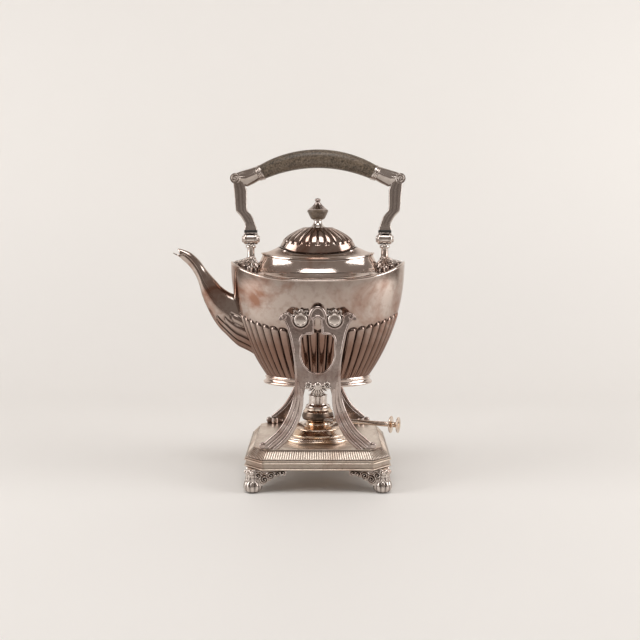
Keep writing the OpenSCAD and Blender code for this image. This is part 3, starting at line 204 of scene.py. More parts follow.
def worn_plate_with_painted_shade(name, bright, warm, deep, cover, patch=26, rough=0.13, dull=0.16, low=None):
    """Tarnished silver plate: bright metal where it is rubbed, warm patches from a broad and a fine
    noise, painted shade in grooves and corners, hairline scratches, and rougher where it is dull.
    cover is the share of warm patches; low gives two heights in m and a tone: from the higher down
    to the lower one the colour darkens towards that tone, a painted dark reflection."""
    finish = bpy.data.materials.new(name)
    finish.use_nodes = True
    tree = finish.node_tree
    shader = tree.nodes["Principled BSDF"]
    shader.inputs["Metallic"].default_value = 1

    def node(kind, **inputs):
        made = tree.nodes.new(kind)
        for key, value in inputs.items():
            made.inputs[key.replace("_", " ")].default_value = value
        return made

    def blend(share, first, second, mode="MIX"):
        made = tree.nodes.new("ShaderNodeMix")
        made.data_type = "RGBA"
        made.blend_type = mode
        for socket, value in ((made.inputs[0], share), (made.inputs[6], first), (made.inputs[7], second)):
            if isinstance(value, (tuple, float)):
                socket.default_value = value if isinstance(value, float) else (*value, 1)
            else:
                tree.links.new(value, socket)
        return made.outputs[2]

    def span(source, low_in, high_in, low_out=0.0, high_out=1.0):
        made = tree.nodes.new("ShaderNodeMapRange")
        tree.links.new(source, made.inputs[0])
        for k, value in enumerate((low_in, high_in, low_out, high_out), 1):
            made.inputs[k].default_value = value
        return made.outputs[0]

    place = tree.nodes.new("ShaderNodeTexCoord").outputs["Object"]
    broad = node("ShaderNodeTexNoise", Scale=patch, Detail=5, Roughness=0.62, Distortion=0.6)
    fine = node("ShaderNodeTexNoise", Scale=patch * 9, Detail=6, Roughness=0.7)
    specks = node("ShaderNodeTexNoise", Scale=patch * 45, Detail=2)
    brushed = tree.nodes.new("ShaderNodeMapping")
    brushed.inputs["Scale"].default_value = (1, 1, 14)
    hair = node("ShaderNodeTexNoise", Scale=420, Detail=3)
    tree.links.new(place, brushed.inputs["Vector"])
    tree.links.new(brushed.outputs["Vector"], hair.inputs["Vector"])
    for noise in (broad, fine, specks):
        tree.links.new(place, noise.inputs["Vector"])
    warm_share = span(broad.outputs["Fac"], 0.62 - 0.3 * cover, 0.78 - 0.3 * cover)
    tone = blend(warm_share, bright, warm)
    # Painted dark reflection: the colour darkens towards the low tone from the higher height down.
    if low is not None:
        height = tree.nodes.new("ShaderNodeSeparateXYZ")
        tree.links.new(place, height.inputs[0])
        painted_reflection_share = span(height.outputs["Z"], low[1], low[0], 0.0, 0.95)
        tone = blend(painted_reflection_share, tone, low[2])
    film = span(fine.outputs["Fac"], 0.5, 0.75, 0.0, 0.45)
    tone = blend(film, tone, tuple(0.62 * a + 0.2 * b for a, b in zip(warm, deep)))
    # Painted shade: darker towards the deep tone in grooves (the mesh's shade attribute) and in corners.
    groove = tree.nodes.new("ShaderNodeAttribute")
    groove.attribute_name = "painted_shade"
    shut = node("ShaderNodeAmbientOcclusion", Distance=0.004)
    shut.samples = 4
    corner = span(shut.outputs["AO"], 0.7, 0.15, 0.0, 0.65)
    tone = blend(corner, tone, deep)
    tone = blend(span(groove.outputs["Fac"], 0.1, 0.95, 0.0, 0.85), tone, deep)
    tree.links.new(tone, shader.inputs["Base Color"])
    haze = span(fine.outputs["Fac"], 0.35, 0.75, rough, rough + dull)
    tree.links.new(haze, shader.inputs["Roughness"])
    bump = node("ShaderNodeBump", Strength=0.05, Distance=0.0002)
    dimple = node("ShaderNodeBump", Strength=0.07, Distance=0.0006)
    tree.links.new(hair.outputs["Fac"], bump.inputs["Height"])
    tree.links.new(fine.outputs["Fac"], dimple.inputs["Height"])
    tree.links.new(dimple.outputs["Normal"], bump.inputs["Normal"])
    tree.links.new(bump.outputs["Normal"], shader.inputs["Normal"])
    return finish


# UMBER is the dark tone of the tarnish film and of the painted shade in grooves and corners.
UMBER = (0.055, 0.032, 0.024)
base_finish = worn_plate_with_painted_shade("base_silver", (0.72, 0.62, 0.53), (0.54, 0.41, 0.33), UMBER, 0.45, patch=30,
                         rough=0.26)

half_round = np.linspace(0, math.pi, 7)


def moulding(low, high):
    """A half-round along the band's edge: it swells out by BEAD between two heights."""
    return np.stack([-BEAD * np.sin(half_round), low + (high - low) * (1 - np.cos(half_round)) / 2], axis=1)


band_low, band_high = BASE_LOW, BASE_LOW + BAND_H
profile = np.concatenate([
    [[6, band_low + 0.4], [0.6, band_low]], moulding(band_low + 0.1, band_low + 1.7),
    [[0.5, band_low + 1.9], [0.5, band_high - 2.3]], moulding(band_high - 2.1, band_high - 0.5),
    [[0.3, band_high - 0.3], [0.3, band_high + 0.2], [SLOPE_RUN - 0.3, BASE_TOP - 0.4],
     [SLOPE_RUN, BASE_TOP - 0.05], [SLOPE_RUN + 0.6, BASE_TOP]]])
base_outer = octagon_rings(profile[:, :1], profile[:, 1:], 24, 8)
direction = base_outer[-1][:, :2] / np.linalg.norm(base_outer[-1][:, :2], axis=1, keepdims=True)
well = [np.concatenate([direction * r, np.full((len(direction), 1), z)], axis=1)
        for r, z in ((WELL_R + 1, BASE_TOP), (WELL_R, BASE_TOP - 0.4), (WELL_R, BASE_TOP - 2))]
under = octagon_rings(np.array([[SLOPE_RUN + 2], [3], [3]]),
                      np.array([[BASE_TOP - 2], [band_high - 2], [band_low + 0.4]]), 24, 8)
# Painted shade in the creases at the roots of both beads and on the band between them.
band_dark = np.zeros((len(profile) + 6, 1))
band_dark[[2, 8, 11, 17]] = 0.7
band_dark[[9, 10]] = 0.5
piece("base_pan", [loft(np.concatenate([base_outer, np.stack(well), under]), joined=True, painted_shade=band_dark)],
      base_finish, "stand", "silver_plate", "base_plate")

# Border: a cast strip of small upright flutes with rounded ends, soldered to the slope between
# two plain fillets. The flutes on the cut corners run the same way down the slope.
FLUTE_PITCH = 2.06
flutes_long = round(2 * (BASE_HALF - BASE_CUT) / FLUTE_PITCH)
flutes_cut = round(BASE_CUT * math.sqrt(2) / FLUTE_PITCH)
per = 8
along = np.concatenate([np.arange(flutes_long * per) / per % 1, np.arange(flutes_cut * per) / per % 1] * 4)
down = np.linspace(0, 1, 26)
lobe = np.sqrt(np.clip(1 - ((along - 0.5) / 0.36) ** 2, 0, 1))
reach = np.clip(1 - (np.abs(down - 0.5) / 0.36) ** 6, 0, 1)[:, None] ** 0.5
fillet = np.clip((np.abs(down - 0.5) - 0.41) / 0.03, 0, 1)[:, None]
swell = 0.15 + 0.6 * lobe * reach + 0.85 * fillet * (1 - np.clip((np.abs(down - 0.5) - 0.47) / 0.03, 0,
                                                                 1))[:, None]
slope_len = math.hypot(SLOPE_RUN, BASE_TOP - band_high)
tilt_in, tilt_up = (BASE_TOP - band_high) / slope_len, SLOPE_RUN / slope_len
strip_inset = down[:, None] * SLOPE_RUN - swell * tilt_in
strip_z = band_high + down[:, None] * (BASE_TOP - band_high) + swell * tilt_up - 0.1
strip_top = octagon_rings(strip_inset, strip_z, flutes_long * per, flutes_cut * per)
strip_back = octagon_rings(np.array([[SLOPE_RUN], [0.3]]), np.array([[BASE_TOP - 0.5], [band_high + 0.1]]),
                           flutes_long * per, flutes_cut * per)
# Painted shade between the flutes and beyond their rounded ends, but not on the fillets.
strip_dark = np.concatenate([(1 - lobe * reach) * (1 - fillet) * np.ones_like(swell),
                             np.zeros((2, len(along)))])
piece("base_border_flutes", [loft(np.concatenate([strip_top, strip_back]), joined=True, painted_shade=strip_dark)],
      base_finish, "stand", "silver_plate", "base_border")

# Feet: cast, each a lobed bun under a ring of leaves, with a bracket of coiled scrolls along both
# sides of its corner. A screw from below holds it in the corner of the base.
FOOT_AT = 56.6
BRACKET_END = 27.0
BRACKET_T = 3.0
AXIS = 0.05  # the radius where a turned profile starts and ends, almost on its axis


def flow(points, per_span):
    """A smooth line through points: a cubic between each pair whose slopes come from their
    neighbours. A point given twice makes a corner."""
    padded = np.concatenate([points[:1], points, points[-1:]])
    u = (np.arange(per_span) / per_span)[:, None]
    parts = []
    for k in range(len(points) - 1):
        a, b, c, d = padded[k:k + 4]
        if np.allclose(b, c):
            continue
        m0 = (c - a) / 2 if not np.allclose(a, b) else (c - b)
        m1 = (d - b) / 2 if not np.allclose(c, d) else (c - b)
        parts.append((2 * u**3 - 3 * u**2 + 1) * b + (u**3 - 2 * u**2 + u) * m0
                     + (3 * u**2 - 2 * u**3) * c + (u**3 - u**2) * m1)
    return np.concatenate([*parts, points[-1:]])


def turned(profile, around=72, lobes=0, depth=0.0, bored=False):
    """A solid of revolution about +Z through a profile of radius and height, smoothed by a curve
    through its points. With lobes, its radius swells and shrinks that many times round it. A bored
    one is open along its axis: the profile closes on itself."""
    line = flow(np.asarray(profile, float), 5)
    turn = np.linspace(0, 2 * math.pi, around, endpoint=False)
    ripple = np.abs(np.cos(lobes * turn / 2)) if lobes else np.ones(around)
    weight = np.sin(np.linspace(0, math.pi, len(line)))[:, None]
    radius = line[:, :1] - depth * (1 - ripple[None]) * weight
    rings = np.stack([radius * np.cos(turn), radius * np.sin(turn),
                      np.broadcast_to(line[:, 1:], radius.shape)], axis=2)
    # Painted shade in the valleys between the lobes.
    return loft(rings, joined=bored, painted_shade=(1 - ripple[None]) * weight * (depth > 0))


def moved(shape, place=(0, 0, 0), spin=0.0, flip=(1, 1, 1)):
    """The same skin mirrored by flip, spun about +Z by degrees and moved to place."""
    points, faces, shade = shape
    c, s = math.cos(math.radians(spin)), math.sin(math.radians(spin))
    turn = np.array([[c, s, 0], [-s, c, 0], [0, 0, 1]])
    return outward((points * np.array(flip, float)) @ turn + np.array(place, float), faces, shade)


def leaf(length, width, rise, curl=0.0, tip_up=0.0):
    """A veined leaf along +X: its half-width is a skewed sine of the length, its back is flat and
    its face is a low arch with a groove for the vein and notches along both edges."""
    u = np.linspace(0.02, 1, 16)[:, None]
    t = np.linspace(0, 2 * math.pi, 20, endpoint=False)[None]
    half = width * np.sin(math.pi * u ** 0.75) ** 0.7 * (1 - 0.16 * np.abs(np.sin(4.5 * math.pi * u)))
    face = np.maximum(np.sin(t), -0.35)
    vein = 1 - 0.55 * np.exp(-(np.cos(t) / 0.22) ** 2)
    lift = rise * face * np.where(face > 0, vein, 1) * (1.05 - 0.6 * u)
    x = length * u
    z = lift + tip_up * u**3
    y = half * np.cos(t) + curl * u**2
    rings = np.stack([np.broadcast_to(x, y.shape), y, z], axis=2)
    # Painted shade in the vein's groove.
    dark = np.broadcast_to((face > 0) * np.exp(-(np.cos(t) / 0.2) ** 2) * 0.9, y.shape)
    return loft(rings, painted_shade=dark)


def tilted(shape, matrix, place=(0, 0, 0)):
    """The same skin with each point multiplied by a 3 by 3 matrix, then moved to place."""
    points, faces, shade = shape
    return outward(points @ np.array(matrix, float).T + np.array(place, float), faces, shade)


def bracket_wing():
    """One leaf bracket along the base's side, from its end to the foot: a slab whose lower edge
    falls in scallops and whose face carries five coiled scrolls."""
    s = np.linspace(0, 1, 120)
    length = FOOT_AT - BRACKET_END
    x = BRACKET_END + s * length
    fall = 4.2 + 9.6 * np.clip((s - 0.18) / 0.55, 0, 1) ** 1.3 - 4.0 * np.clip((s - 0.8) / 0.2, 0, 1)
    scallop = 1.1 * np.abs(np.sin(s * 5.5 * math.pi))
    low = BASE_LOW - fall - scallop
    v = np.linspace(0, 1, 36)[None]
    z = BASE_LOW + 0.2 - (BASE_LOW + 0.2 - low[:, None]) * v
    curls = np.zeros_like(z)
    for cx, cz, size in ((30.5, 2.2, 2.6), (35.2, 3.4, 3.1), (40.6, 4.8, 3.8), (46.2, 8.0, 4.8),
                         (51.8, 4.6, 3.8)):
        off_x, off_z = x[:, None] - cx, z - BASE_LOW + cz
        away, turn = np.hypot(off_x, off_z), np.arctan2(off_z, off_x)
        coil = 0.5 + 0.5 * np.cos(2 * math.pi * away / 1.9 - turn)
        curls = np.maximum(curls, coil**0.7 * np.exp(-(away / size) ** 4))
    edge = np.sin(math.pi * np.clip(v * 0.92 + 0.08, 0, 1)) ** 0.35
    face = (0.35 + 2.1 * curls) * edge
    y_front = -(BASE_HALF - BRACKET_T + 0.6) - face
    y_back = np.broadcast_to(-(BASE_HALF - BRACKET_T - 1.6), z.shape)
    front = np.stack([np.broadcast_to(x[:, None], z.shape), y_front, z], axis=2)
    back = np.stack([np.broadcast_to(x[:, None], z.shape), y_back, z], axis=2)[:, ::-1]
    # Painted shade on the face between and around the scrolls.
    dark = np.concatenate([0.55 * (1 - curls) * edge, np.zeros_like(z)], axis=1)
    return loft(np.concatenate([front, back], axis=1), painted_shade=dark)


stand_finish = worn_plate_with_painted_shade("stand_silver", (0.70, 0.63, 0.58), (0.50, 0.38, 0.32), UMBER, 0.4, patch=34,
                          rough=0.12)
bun = turned([(AXIS, 0.05), (4.4, 0.05), (4.6, 0.15), (7.0, 1.5), (8.25, 4.2), (8.15, 6.8), (7.3, 9.4),
              (5.7, 11.4), (4.6, 13.0), (4.6, 15.5), (5.4, 18.5), (5.2, BASE_LOW), (AXIS, BASE_LOW)],
             around=96, lobes=12, depth=0.5)
foot_shapes = [moved(bun, (FOOT_AT, -FOOT_AT, 0)), bracket_wing(),
               tilted(bracket_wing(), [[0, -1, 0], [-1, 0, 0], [0, 0, 1]])]
claw = leaf(10.5, 3.4, 1.4, tip_up=1.0)
for turn in (-45, -15, -75, 15, -105):
    a = math.radians(turn)
    hang = [[0.12 * math.cos(a), -math.sin(a), math.cos(a)], [0.12 * math.sin(a), math.cos(a), math.sin(a)],
            [-1.0, 0, 0.15]]
    foot_shapes.append(tilted(claw, hang, (FOOT_AT + 4.5 * math.cos(a), -FOOT_AT + 4.5 * math.sin(a), 20.0)))
knob = turned([(AXIS, -1.9), (1.5, -1.4), (1.9, 0), (1.5, 1.4), (AXIS, 1.9)], around=20)
for turn in (-45, -5, -85):
    a = math.radians(turn)
    foot_shapes.append(moved(knob, (FOOT_AT + 5.9 * math.cos(a), -FOOT_AT + 5.9 * math.sin(a), 18.2)))
for name, flip in (("foot_front_right", (1, 1, 1)), ("foot_front_left", (-1, 1, 1)),
                   ("foot_back_right", (1, -1, 1)), ("foot_back_left", (-1, -1, 1))):
    piece(name + "_casting", [moved(s, flip=flip) for s in foot_shapes], stand_finish, "stand",
          "silver_plate", name)

# Lamp: spun brass, silvered and worn to gold by heat. A stepped dish drops into the well, and a
# pedestal, a dark drum and a short tube for the wick stand on it, brazed one on the other.
lamp_finish = worn_plate_with_painted_shade("lamp_plate", (0.80, 0.68, 0.585), (0.70, 0.50, 0.34), UMBER, 0.5, patch=44,
                         rough=0.1)
drum_finish = worn_plate_with_painted_shade("lamp_drum", (0.17, 0.12, 0.09), (0.10, 0.07, 0.055), (0.02, 0.014, 0.01), 0.5,
                         patch=60, rough=0.32)
font_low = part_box("lamp_font")[0].z / MM
dish = turned([(AXIS, font_low), (26.5, font_low), (26.5, font_low), (31.5, font_low + 3),
               (33.5, font_low + 8), (33.5, BASE_TOP + 0.05), (33.5, BASE_TOP + 0.05), (38, BASE_TOP + 0.05),
               (38, BASE_TOP + 0.05), (38, BASE_TOP + 1.5), (37.0, BASE_TOP + 2.4), (35.4, BASE_TOP + 2.2),
               (34.8, BASE_TOP + 3.0), (32.2, BASE_TOP + 3.8), (31.2, BASE_TOP + 4.2), (31, BASE_TOP + 5.4),
               (31, BASE_TOP + 5.4), (27, BASE_TOP + 6.8), (23.4, BASE_TOP + 8.2), (23, BASE_TOP + 9.3),
               (23, BASE_TOP + 9.3), (17, BASE_TOP + 10.3), (12.6, BASE_TOP + 10.6), (11.4, BASE_TOP + 11.2),
               (10.9, BASE_TOP + 12.6), (9.6, BASE_TOP + 13.6), (8.4, BASE_TOP + 14), (7.0, BASE_TOP + 14),
               (7.0, BASE_TOP + 14), (6.8, BASE_TOP + 8.5), (6.8, BASE_TOP + 8.5), (AXIS, BASE_TOP + 8.5)],
              around=128)
piece("lamp_dish", [dish], lamp_finish, "lamp", "silver_plate", "lamp_font")
drum_low = BASE_TOP + 14
drum = turned([(AXIS, 2), (13.2, 2), (13.2, 2), (14.4, 2.8), (14.7, 4), (14.7, 5.4), (14.7, 5.4),
               (13.3, 8.4), (13.3, 8.4), (AXIS, 8.4)], around=96)
piece("lamp_drum_turned", [moved(drum, (0, 0, drum_low))], drum_finish, "lamp", "dark_bronze", "lamp_collar")
drum_foot = turned([(AXIS, 0), (9.6, 0), (9.6, 0), (10.6, 0.5), (12.9, 1.2), (13.3, 1.6), (13.0, 2.05),
                    (AXIS, 2.05)], around=96)
drum_top = turned([(AXIS, 8.35), (13.4, 8.35), (13.4, 8.35), (13.6, 8.8), (12.8, 9.6), (12.0, 10.6),
                   (11.7, 11), (11.7, 12.4), (11.7, 12.4), (AXIS, 12.4)], around=96)
piece("lamp_drum_rings", [moved(shape, (0, 0, drum_low)) for shape in (drum_foot, drum_top)], lamp_finish,
      "lamp", "silver_plate")
tube_low = drum_low + 12.5
tube_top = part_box("wick_tube")[1].z / MM
tube = turned([(4.4, tube_low), (10.9, tube_low), (10.9, tube_low), (11.1, tube_low + 0.9),
               (10.9, tube_low + 1.8), (10.9, tube_low + 1.8), (9.3, tube_low + 2.6), (8.4, tube_low + 3.9),
               (8.3, tube_top - 1.1), (8.7, tube_top - 0.7), (8.5, tube_top), (7.6, tube_top),
               (7.6, tube_top), (7.5, tube_top - 1.6), (4.4, tube_top - 1.9),
               (4.4, tube_top - 1.9)], around=72)
piece("wick_tube_turned", [tube], stand_finish, "lamp", "silver_plate", "wick_tube")

# Frames: a pair of castings, front and back, screwed down through their toes. Each has two
# splayed, reeded legs, a shield window with an arched slot and U-shaped rests for two studs.
frame_finish = worn_plate_with_painted_shade("frame_silver", (0.58, 0.49, 0.45), (0.34, 0.24, 0.205), UMBER, 0.5, patch=40,
                          rough=0.08, dull=0.1)
FRAME_IN = 50.0
FRAME_OUT = 54.4
STUD_Z = 150.8
STUD_X = 14.6
edge_right = np.array([
    (0, STUD_Z + 12.1), (3.2, STUD_Z + 11.3), (6.1, STUD_Z + 8.6), (7.7, STUD_Z + 4.8), (8.3, STUD_Z + 1.2),
    (9.2, STUD_Z - 2.2), (11.2, STUD_Z - 5.0), (14.6, STUD_Z - 6.1), (18.0, STUD_Z - 5.0),
    (20.2, STUD_Z - 2.2), (21.1, STUD_Z + 1.6), (22.2, STUD_Z + 4.6), (24.6, STUD_Z + 6.4),
    (28.0, STUD_Z + 6.2), (31.4, STUD_Z + 4.4), (33.4, STUD_Z + 1.2), (32.6, STUD_Z - 0.6),
    (30.2, STUD_Z - 0.2), (28.0, STUD_Z - 2.6), (25.6, STUD_Z - 8), (23.2, STUD_Z - 15), (21.4, STUD_Z - 24),
    (20.3, STUD_Z - 34), (19.5, BASE_TOP + 66), (19.2, BASE_TOP + 56), (19.8, BASE_TOP + 44),
    (21.8, BASE_TOP + 34), (25.8, BASE_TOP + 24.5), (32, BASE_TOP + 16), (40.5, BASE_TOP + 8.2),
    (47.5, BASE_TOP + 4), (50, BASE_TOP + 1.8), (50, BASE_TOP + 0.05), (50, BASE_TOP + 0.05),
    (35.2, BASE_TOP + 0.05), (35.2, BASE_TOP + 0.05), (33.2, BASE_TOP + 2.4), (30, BASE_TOP + 7),
    (25, BASE_TOP + 15.5), (20, BASE_TOP + 25), (15.4, BASE_TOP + 36), (12.6, BASE_TOP + 46),
    (11.2, BASE_TOP + 52), (9.6, BASE_TOP + 55.4), (6.4, BASE_TOP + 57.2), (0, BASE_TOP + 57.6)])
edge_half = flow(edge_right, 5)
frame_outline = np.concatenate([edge_half, edge_half[-2:0:-1] * [-1, 1]])
WINDOW_LOW = BASE_TOP + 66.5
window_turn = np.linspace(-math.pi / 2, 0, 16)
WINDOW_W = 15.2
SLOT_W = 4.0
slot_turn = np.linspace(0, math.pi / 2, 10)
window_half = np.concatenate([
    np.stack([WINDOW_W * np.cos(window_turn), WINDOW_LOW + 18.5 * (1 + np.sin(window_turn))], axis=1),
    [[WINDOW_W, WINDOW_LOW + 30], [WINDOW_W - 0.8, WINDOW_LOW + 32.2], [WINDOW_W - 3.0, WINDOW_LOW + 34.6],
     [WINDOW_W - 5.2, WINDOW_LOW + 35], [SLOT_W + 0.6, WINDOW_LOW + 35.2], [SLOT_W, WINDOW_LOW + 35.8]],
    np.stack([SLOT_W * np.cos(slot_turn), STUD_Z - 1.6 + SLOT_W * np.sin(slot_turn)], axis=1)])
window_outline = np.concatenate([window_half, window_half[-2:0:-1] * [-1, 1]])


def cast_plate(name, outlines, near, far, bevel):
    """A flat casting between two depths along Y: the outlines in X and Z, the later ones holes,
    are filled, thickened and given round edges by a flat curve, which is then made a mesh."""
    curve = bpy.data.curves.new(name, "CURVE")
    curve.dimensions = "2D"
    curve.fill_mode = "BOTH"
    curve.bevel_depth = bevel * MM
    curve.bevel_resolution = 2
    curve.offset = -bevel * MM
    curve.extrude = ((far - near) / 2 - bevel) * MM
    for outline in outlines:
        line = curve.splines.new("POLY")
        line.points.add(len(outline) - 1)
        flat = np.concatenate([outline * MM, np.zeros((len(outline), 1)), np.ones((len(outline), 1))],
                              axis=1)
        line.points.foreach_set("co", flat.ravel())
        line.use_cyclic_u = True
    holder = bpy.data.objects.new(name, curve)
    bpy.context.scene.collection.objects.link(holder)
    bpy.context.view_layer.update()
    made = bpy.data.meshes.new_from_object(holder.evaluated_get(bpy.context.evaluated_depsgraph_get()))
    bpy.data.objects.remove(holder)
    co = np.zeros(len(made.vertices) * 3)
    made.vertices.foreach_get("co", co)
    co = co.reshape(-1, 3) / MM
    points = np.stack([co[:, 0], -(near + far) / 2 - co[:, 2], co[:, 1]], axis=1)
    faces = np.full((len(made.polygons), 4), -1)
    for k, polygon in enumerate(made.polygons):
        faces[k, :polygon.loop_total] = polygon.vertices[:]
    bpy.data.meshes.remove(made)
    # The whole plate gets a fixed share of painted shade, darker than the strips laid on it.
    return outward(points, faces, np.full(len(points), 0.45))


def swept(path, across, out, taper=1.0, joined=False, flat=0.0, points=14):
    """A rounded strip along a path: each ring is an oval, across wide in the path's own plane and
    out deep along Y, scaled by taper, and with its outer side levelled by flat."""
    path = np.asarray(path, float)
    around = np.roll(path, -1, 0) - np.roll(path, 1, 0) if joined else np.gradient(path, axis=0)
    along_path = around / np.maximum(np.linalg.norm(around, axis=1, keepdims=True), 1e-9)
    side = np.cross(along_path, [0, 1, 0])
    side /= np.maximum(np.linalg.norm(side, axis=1, keepdims=True), 1e-9)
    t = np.linspace(0, 2 * math.pi, points, endpoint=False)[None, :, None]
    size = np.broadcast_to(np.asarray(taper, float), len(path))[:, None, None]
    depth = np.sign(np.sin(t)) * np.abs(np.sin(t)) ** (1 - flat)
    rings = (path[:, None] + side[:, None] * np.cos(t) * across * size
             + np.array([0, -1, 0]) * depth * out * size)
    # Painted shade along the strip's two sides, where it meets the face under it; its outer face stays
    # bright.
    return loft(rings, joined=joined, painted_shade=np.clip(0.9 - 1.1 * np.abs(np.sin(t[..., 0])), 0, 1))


def on_face(line, depth=FRAME_OUT):
    """Points of X and Z laid on the frame's face."""
    line = np.asarray(line, float)
    return np.stack([line[:, 0], np.full(len(line), -depth), line[:, 1]], axis=1)


def spiral(middle, start_r, end_r, start, sweep, count):
    """A line of X and Z that winds inwards round its middle, from one radius to another, starting
    at an angle in degrees and turning clockwise by sweep."""
    share = np.linspace(0, 1, count)
    r = start_r + (end_r - start_r) * share
    a = np.radians(start - sweep * share)
    return np.stack([middle[0] + r * np.cos(a), middle[1] + r * np.sin(a)], axis=1)


frame_shapes = [cast_plate("frame_fill", [frame_outline, window_outline], FRAME_IN, FRAME_OUT, 0.55)]
frame_shapes.append(swept(on_face(window_outline), 1.0, 0.75, joined=True))
leg_line = flow(np.array([(42.6, BASE_TOP + 1.2), (38.0, BASE_TOP + 5.2), (31.0, BASE_TOP + 11.8),
                          (25.2, BASE_TOP + 20.0), (20.6, BASE_TOP + 29.5), (17.6, BASE_TOP + 40),
                          (16.4, BASE_TOP + 50), (17.0, BASE_TOP + 62), (18.0, BASE_TOP + 78),
                          (20.2, BASE_TOP + 92), (24.2, BASE_TOP + 106), (28.2, BASE_TOP + 114.5)]), 6)
leg_slope = np.gradient(leg_line, axis=0)
leg_length = np.linalg.norm(leg_slope, axis=1, keepdims=True)
leg_normal = np.stack([leg_slope[:, 1], -leg_slope[:, 0]], axis=1) / leg_length
height = leg_line[:, 1] - BASE_TOP
spread = np.interp(height, [0, 12, 30, 50, 66, 90, 115], [4.6, 4.3, 3.9, 2.6, 1.5, 1.6, 0.6])
for side in (1, -1):
    for k in (-1, 0, 1):
        reed = leg_line + leg_normal * spread[:, None] * k
        keep = height > 0.5 if k == 1 else height < (62 if k == 0 else 54)
        taper = np.interp(height[keep], [0, 4, 40, 60, 110, 115], [0.9, 1.15, 1.0, 0.6, 0.55, 0.3])
        line = reed[keep] * [side, 1]
        frame_shapes.append(swept(on_face(line, FRAME_OUT - 0.1), 1.75, 0.95, taper))
    rim_turn = np.linspace(math.radians(-200), math.radians(20), 30)
    rim = np.stack([side * STUD_X + 7.3 * np.cos(rim_turn), STUD_Z + 7.3 * np.sin(rim_turn)], axis=1)
    frame_shapes.append(swept(on_face(rim), 0.95, 0.8))
    horn_curl = spiral((28.4, STUD_Z + 2.6), 2.7, 0.8, 100, 400, 30) * [side, 1]
    frame_shapes.append(swept(on_face(horn_curl), 0.8, 0.8, np.linspace(1.1, 0.6, 30)))
    ridge = flow(np.array([(21.4, STUD_Z - 2), (22.6, STUD_Z + 2.4), (25, STUD_Z + 4.6),
                           (28.6, STUD_Z + 5.0), (32.6, STUD_Z + 2.0)]), 6)
    frame_shapes.append(swept(on_face(ridge * [side, 1]), 1.0, 0.8, np.linspace(1.0, 0.5, len(ridge))))
    lug = turned([(AXIS, BASE_TOP + 0.05), (3.4, BASE_TOP + 0.05), (3.4, BASE_TOP + 4.6),
                  (2.9, BASE_TOP + 5.2), (AXIS, BASE_TOP + 5.2)], around=32)
    frame_shapes.append(moved(lug, (side * 42.5, 4.8 - FRAME_OUT, 0)))
    toe = turned([(AXIS, -2.6), (2.3, -2.2), (2.9, 0), (2.3, 2.2), (AXIS, 2.6)], around=24)
    frame_shapes.append(tilted(toe, [[1, 0, 0], [0, 0, 1], [0, 1, 0]],
                               (side * 48.3, -FRAME_OUT + 2.2, BASE_TOP + 2.9)))
    frame_shapes.append(tilted(toe, [[0.7, 0, 0], [0, 0, 1], [0, 0.7, 0]],
                               (side * 36.2, -FRAME_OUT + 2.2, BASE_TOP + 2.2)))
arch_turn = np.linspace(math.radians(-4), math.radians(184), 40)
for half, top, wide in ((6.7, 10.7, 1.3), (4.9, 3.6, 0.85)):
    arch = np.stack([half * np.cos(arch_turn), STUD_Z + 0.4 + (top - 0.4) * np.sin(arch_turn)], axis=1)
    frame_shapes.append(swept(on_face(arch), wide, 0.85))
for name, flip, node in (("front", 1, "front_frame"), ("back", -1, "back_frame")):
    piece(name + "_frame_casting", [moved(s, flip=(1, flip, 1)) for s in frame_shapes], frame_finish,
          "stand", "silver_plate", node, sharp=50)

# Shell: a small cast fan of ribs between two scrolls, pinned under the window between the legs.
SHELL_Z = BASE_TOP + 54.5
TO_FRONT = [[1, 0, 0], [0, 0, -1], [0, 1, 0]]


def leaf_on_front(angle):
    """The turn that lays a leaf on a front face with its tip pointing at an angle in degrees."""
    a = math.radians(angle)
    return [[math.cos(a), -math.sin(a), 0], [0, 0, -1], [math.sin(a), math.cos(a), 0]]


shell_shapes = []
for k in range(9):
    rib = leaf(10.2 - 0.9 * abs(k - 4) / 4, 1.75, 1.9, tip_up=-0.5)
    shell_shapes.append(tilted(rib, leaf_on_front(190 + 20 * k), (0, -FRAME_OUT - 0.1, SHELL_Z + 1.8)))
for side in (1, -1):
    scroll = spiral((8.4, SHELL_Z + 2.6), 3.3, 0.924, -30, 500, 34) * [side, 1]
    shell_shapes.append(swept(on_face(scroll, FRAME_OUT + 0.3), 0.85, 1.3, np.linspace(1.1, 0.6, 34)))
shell_shapes.append(tilted(turned([(AXIS, -1.2), (2.6, -0.8), (3.0, 0), (2.2, 1.2), (AXIS, 1.7)], around=28),
                           TO_FRONT, (0, -FRAME_OUT - 0.4, SHELL_Z + 2.2)))
for name, flip in (("front_shell", 1), ("back_shell", -1)):
    piece(name + "_casting", [moved(s, flip=(1, flip, 1)) for s in shell_shapes], stand_finish,
          "stand", "silver_plate", name)

# Winder: a drawn rod that thickens towards its knob, a spool of two thin cupped flanges. It turns
# the toothed wheel that lifts the wick, in a bush in the lamp's dark drum.
rod_z = BASE_TOP + 17.0
ROD_OFF = 7.5
ROD_ANGLE = -20.0
ROD_END = 80.0
TO_RIGHT = [[0, 0, 1], [0, 1, 0], [-1, 0, 0]]


def beside(shape, start):
    """A turned shape laid along the winder rod's line, start mm out from the wick."""
    laid = tilted(shape, TO_RIGHT, (start, -ROD_OFF, rod_z))
    return moved(laid, spin=ROD_ANGLE)


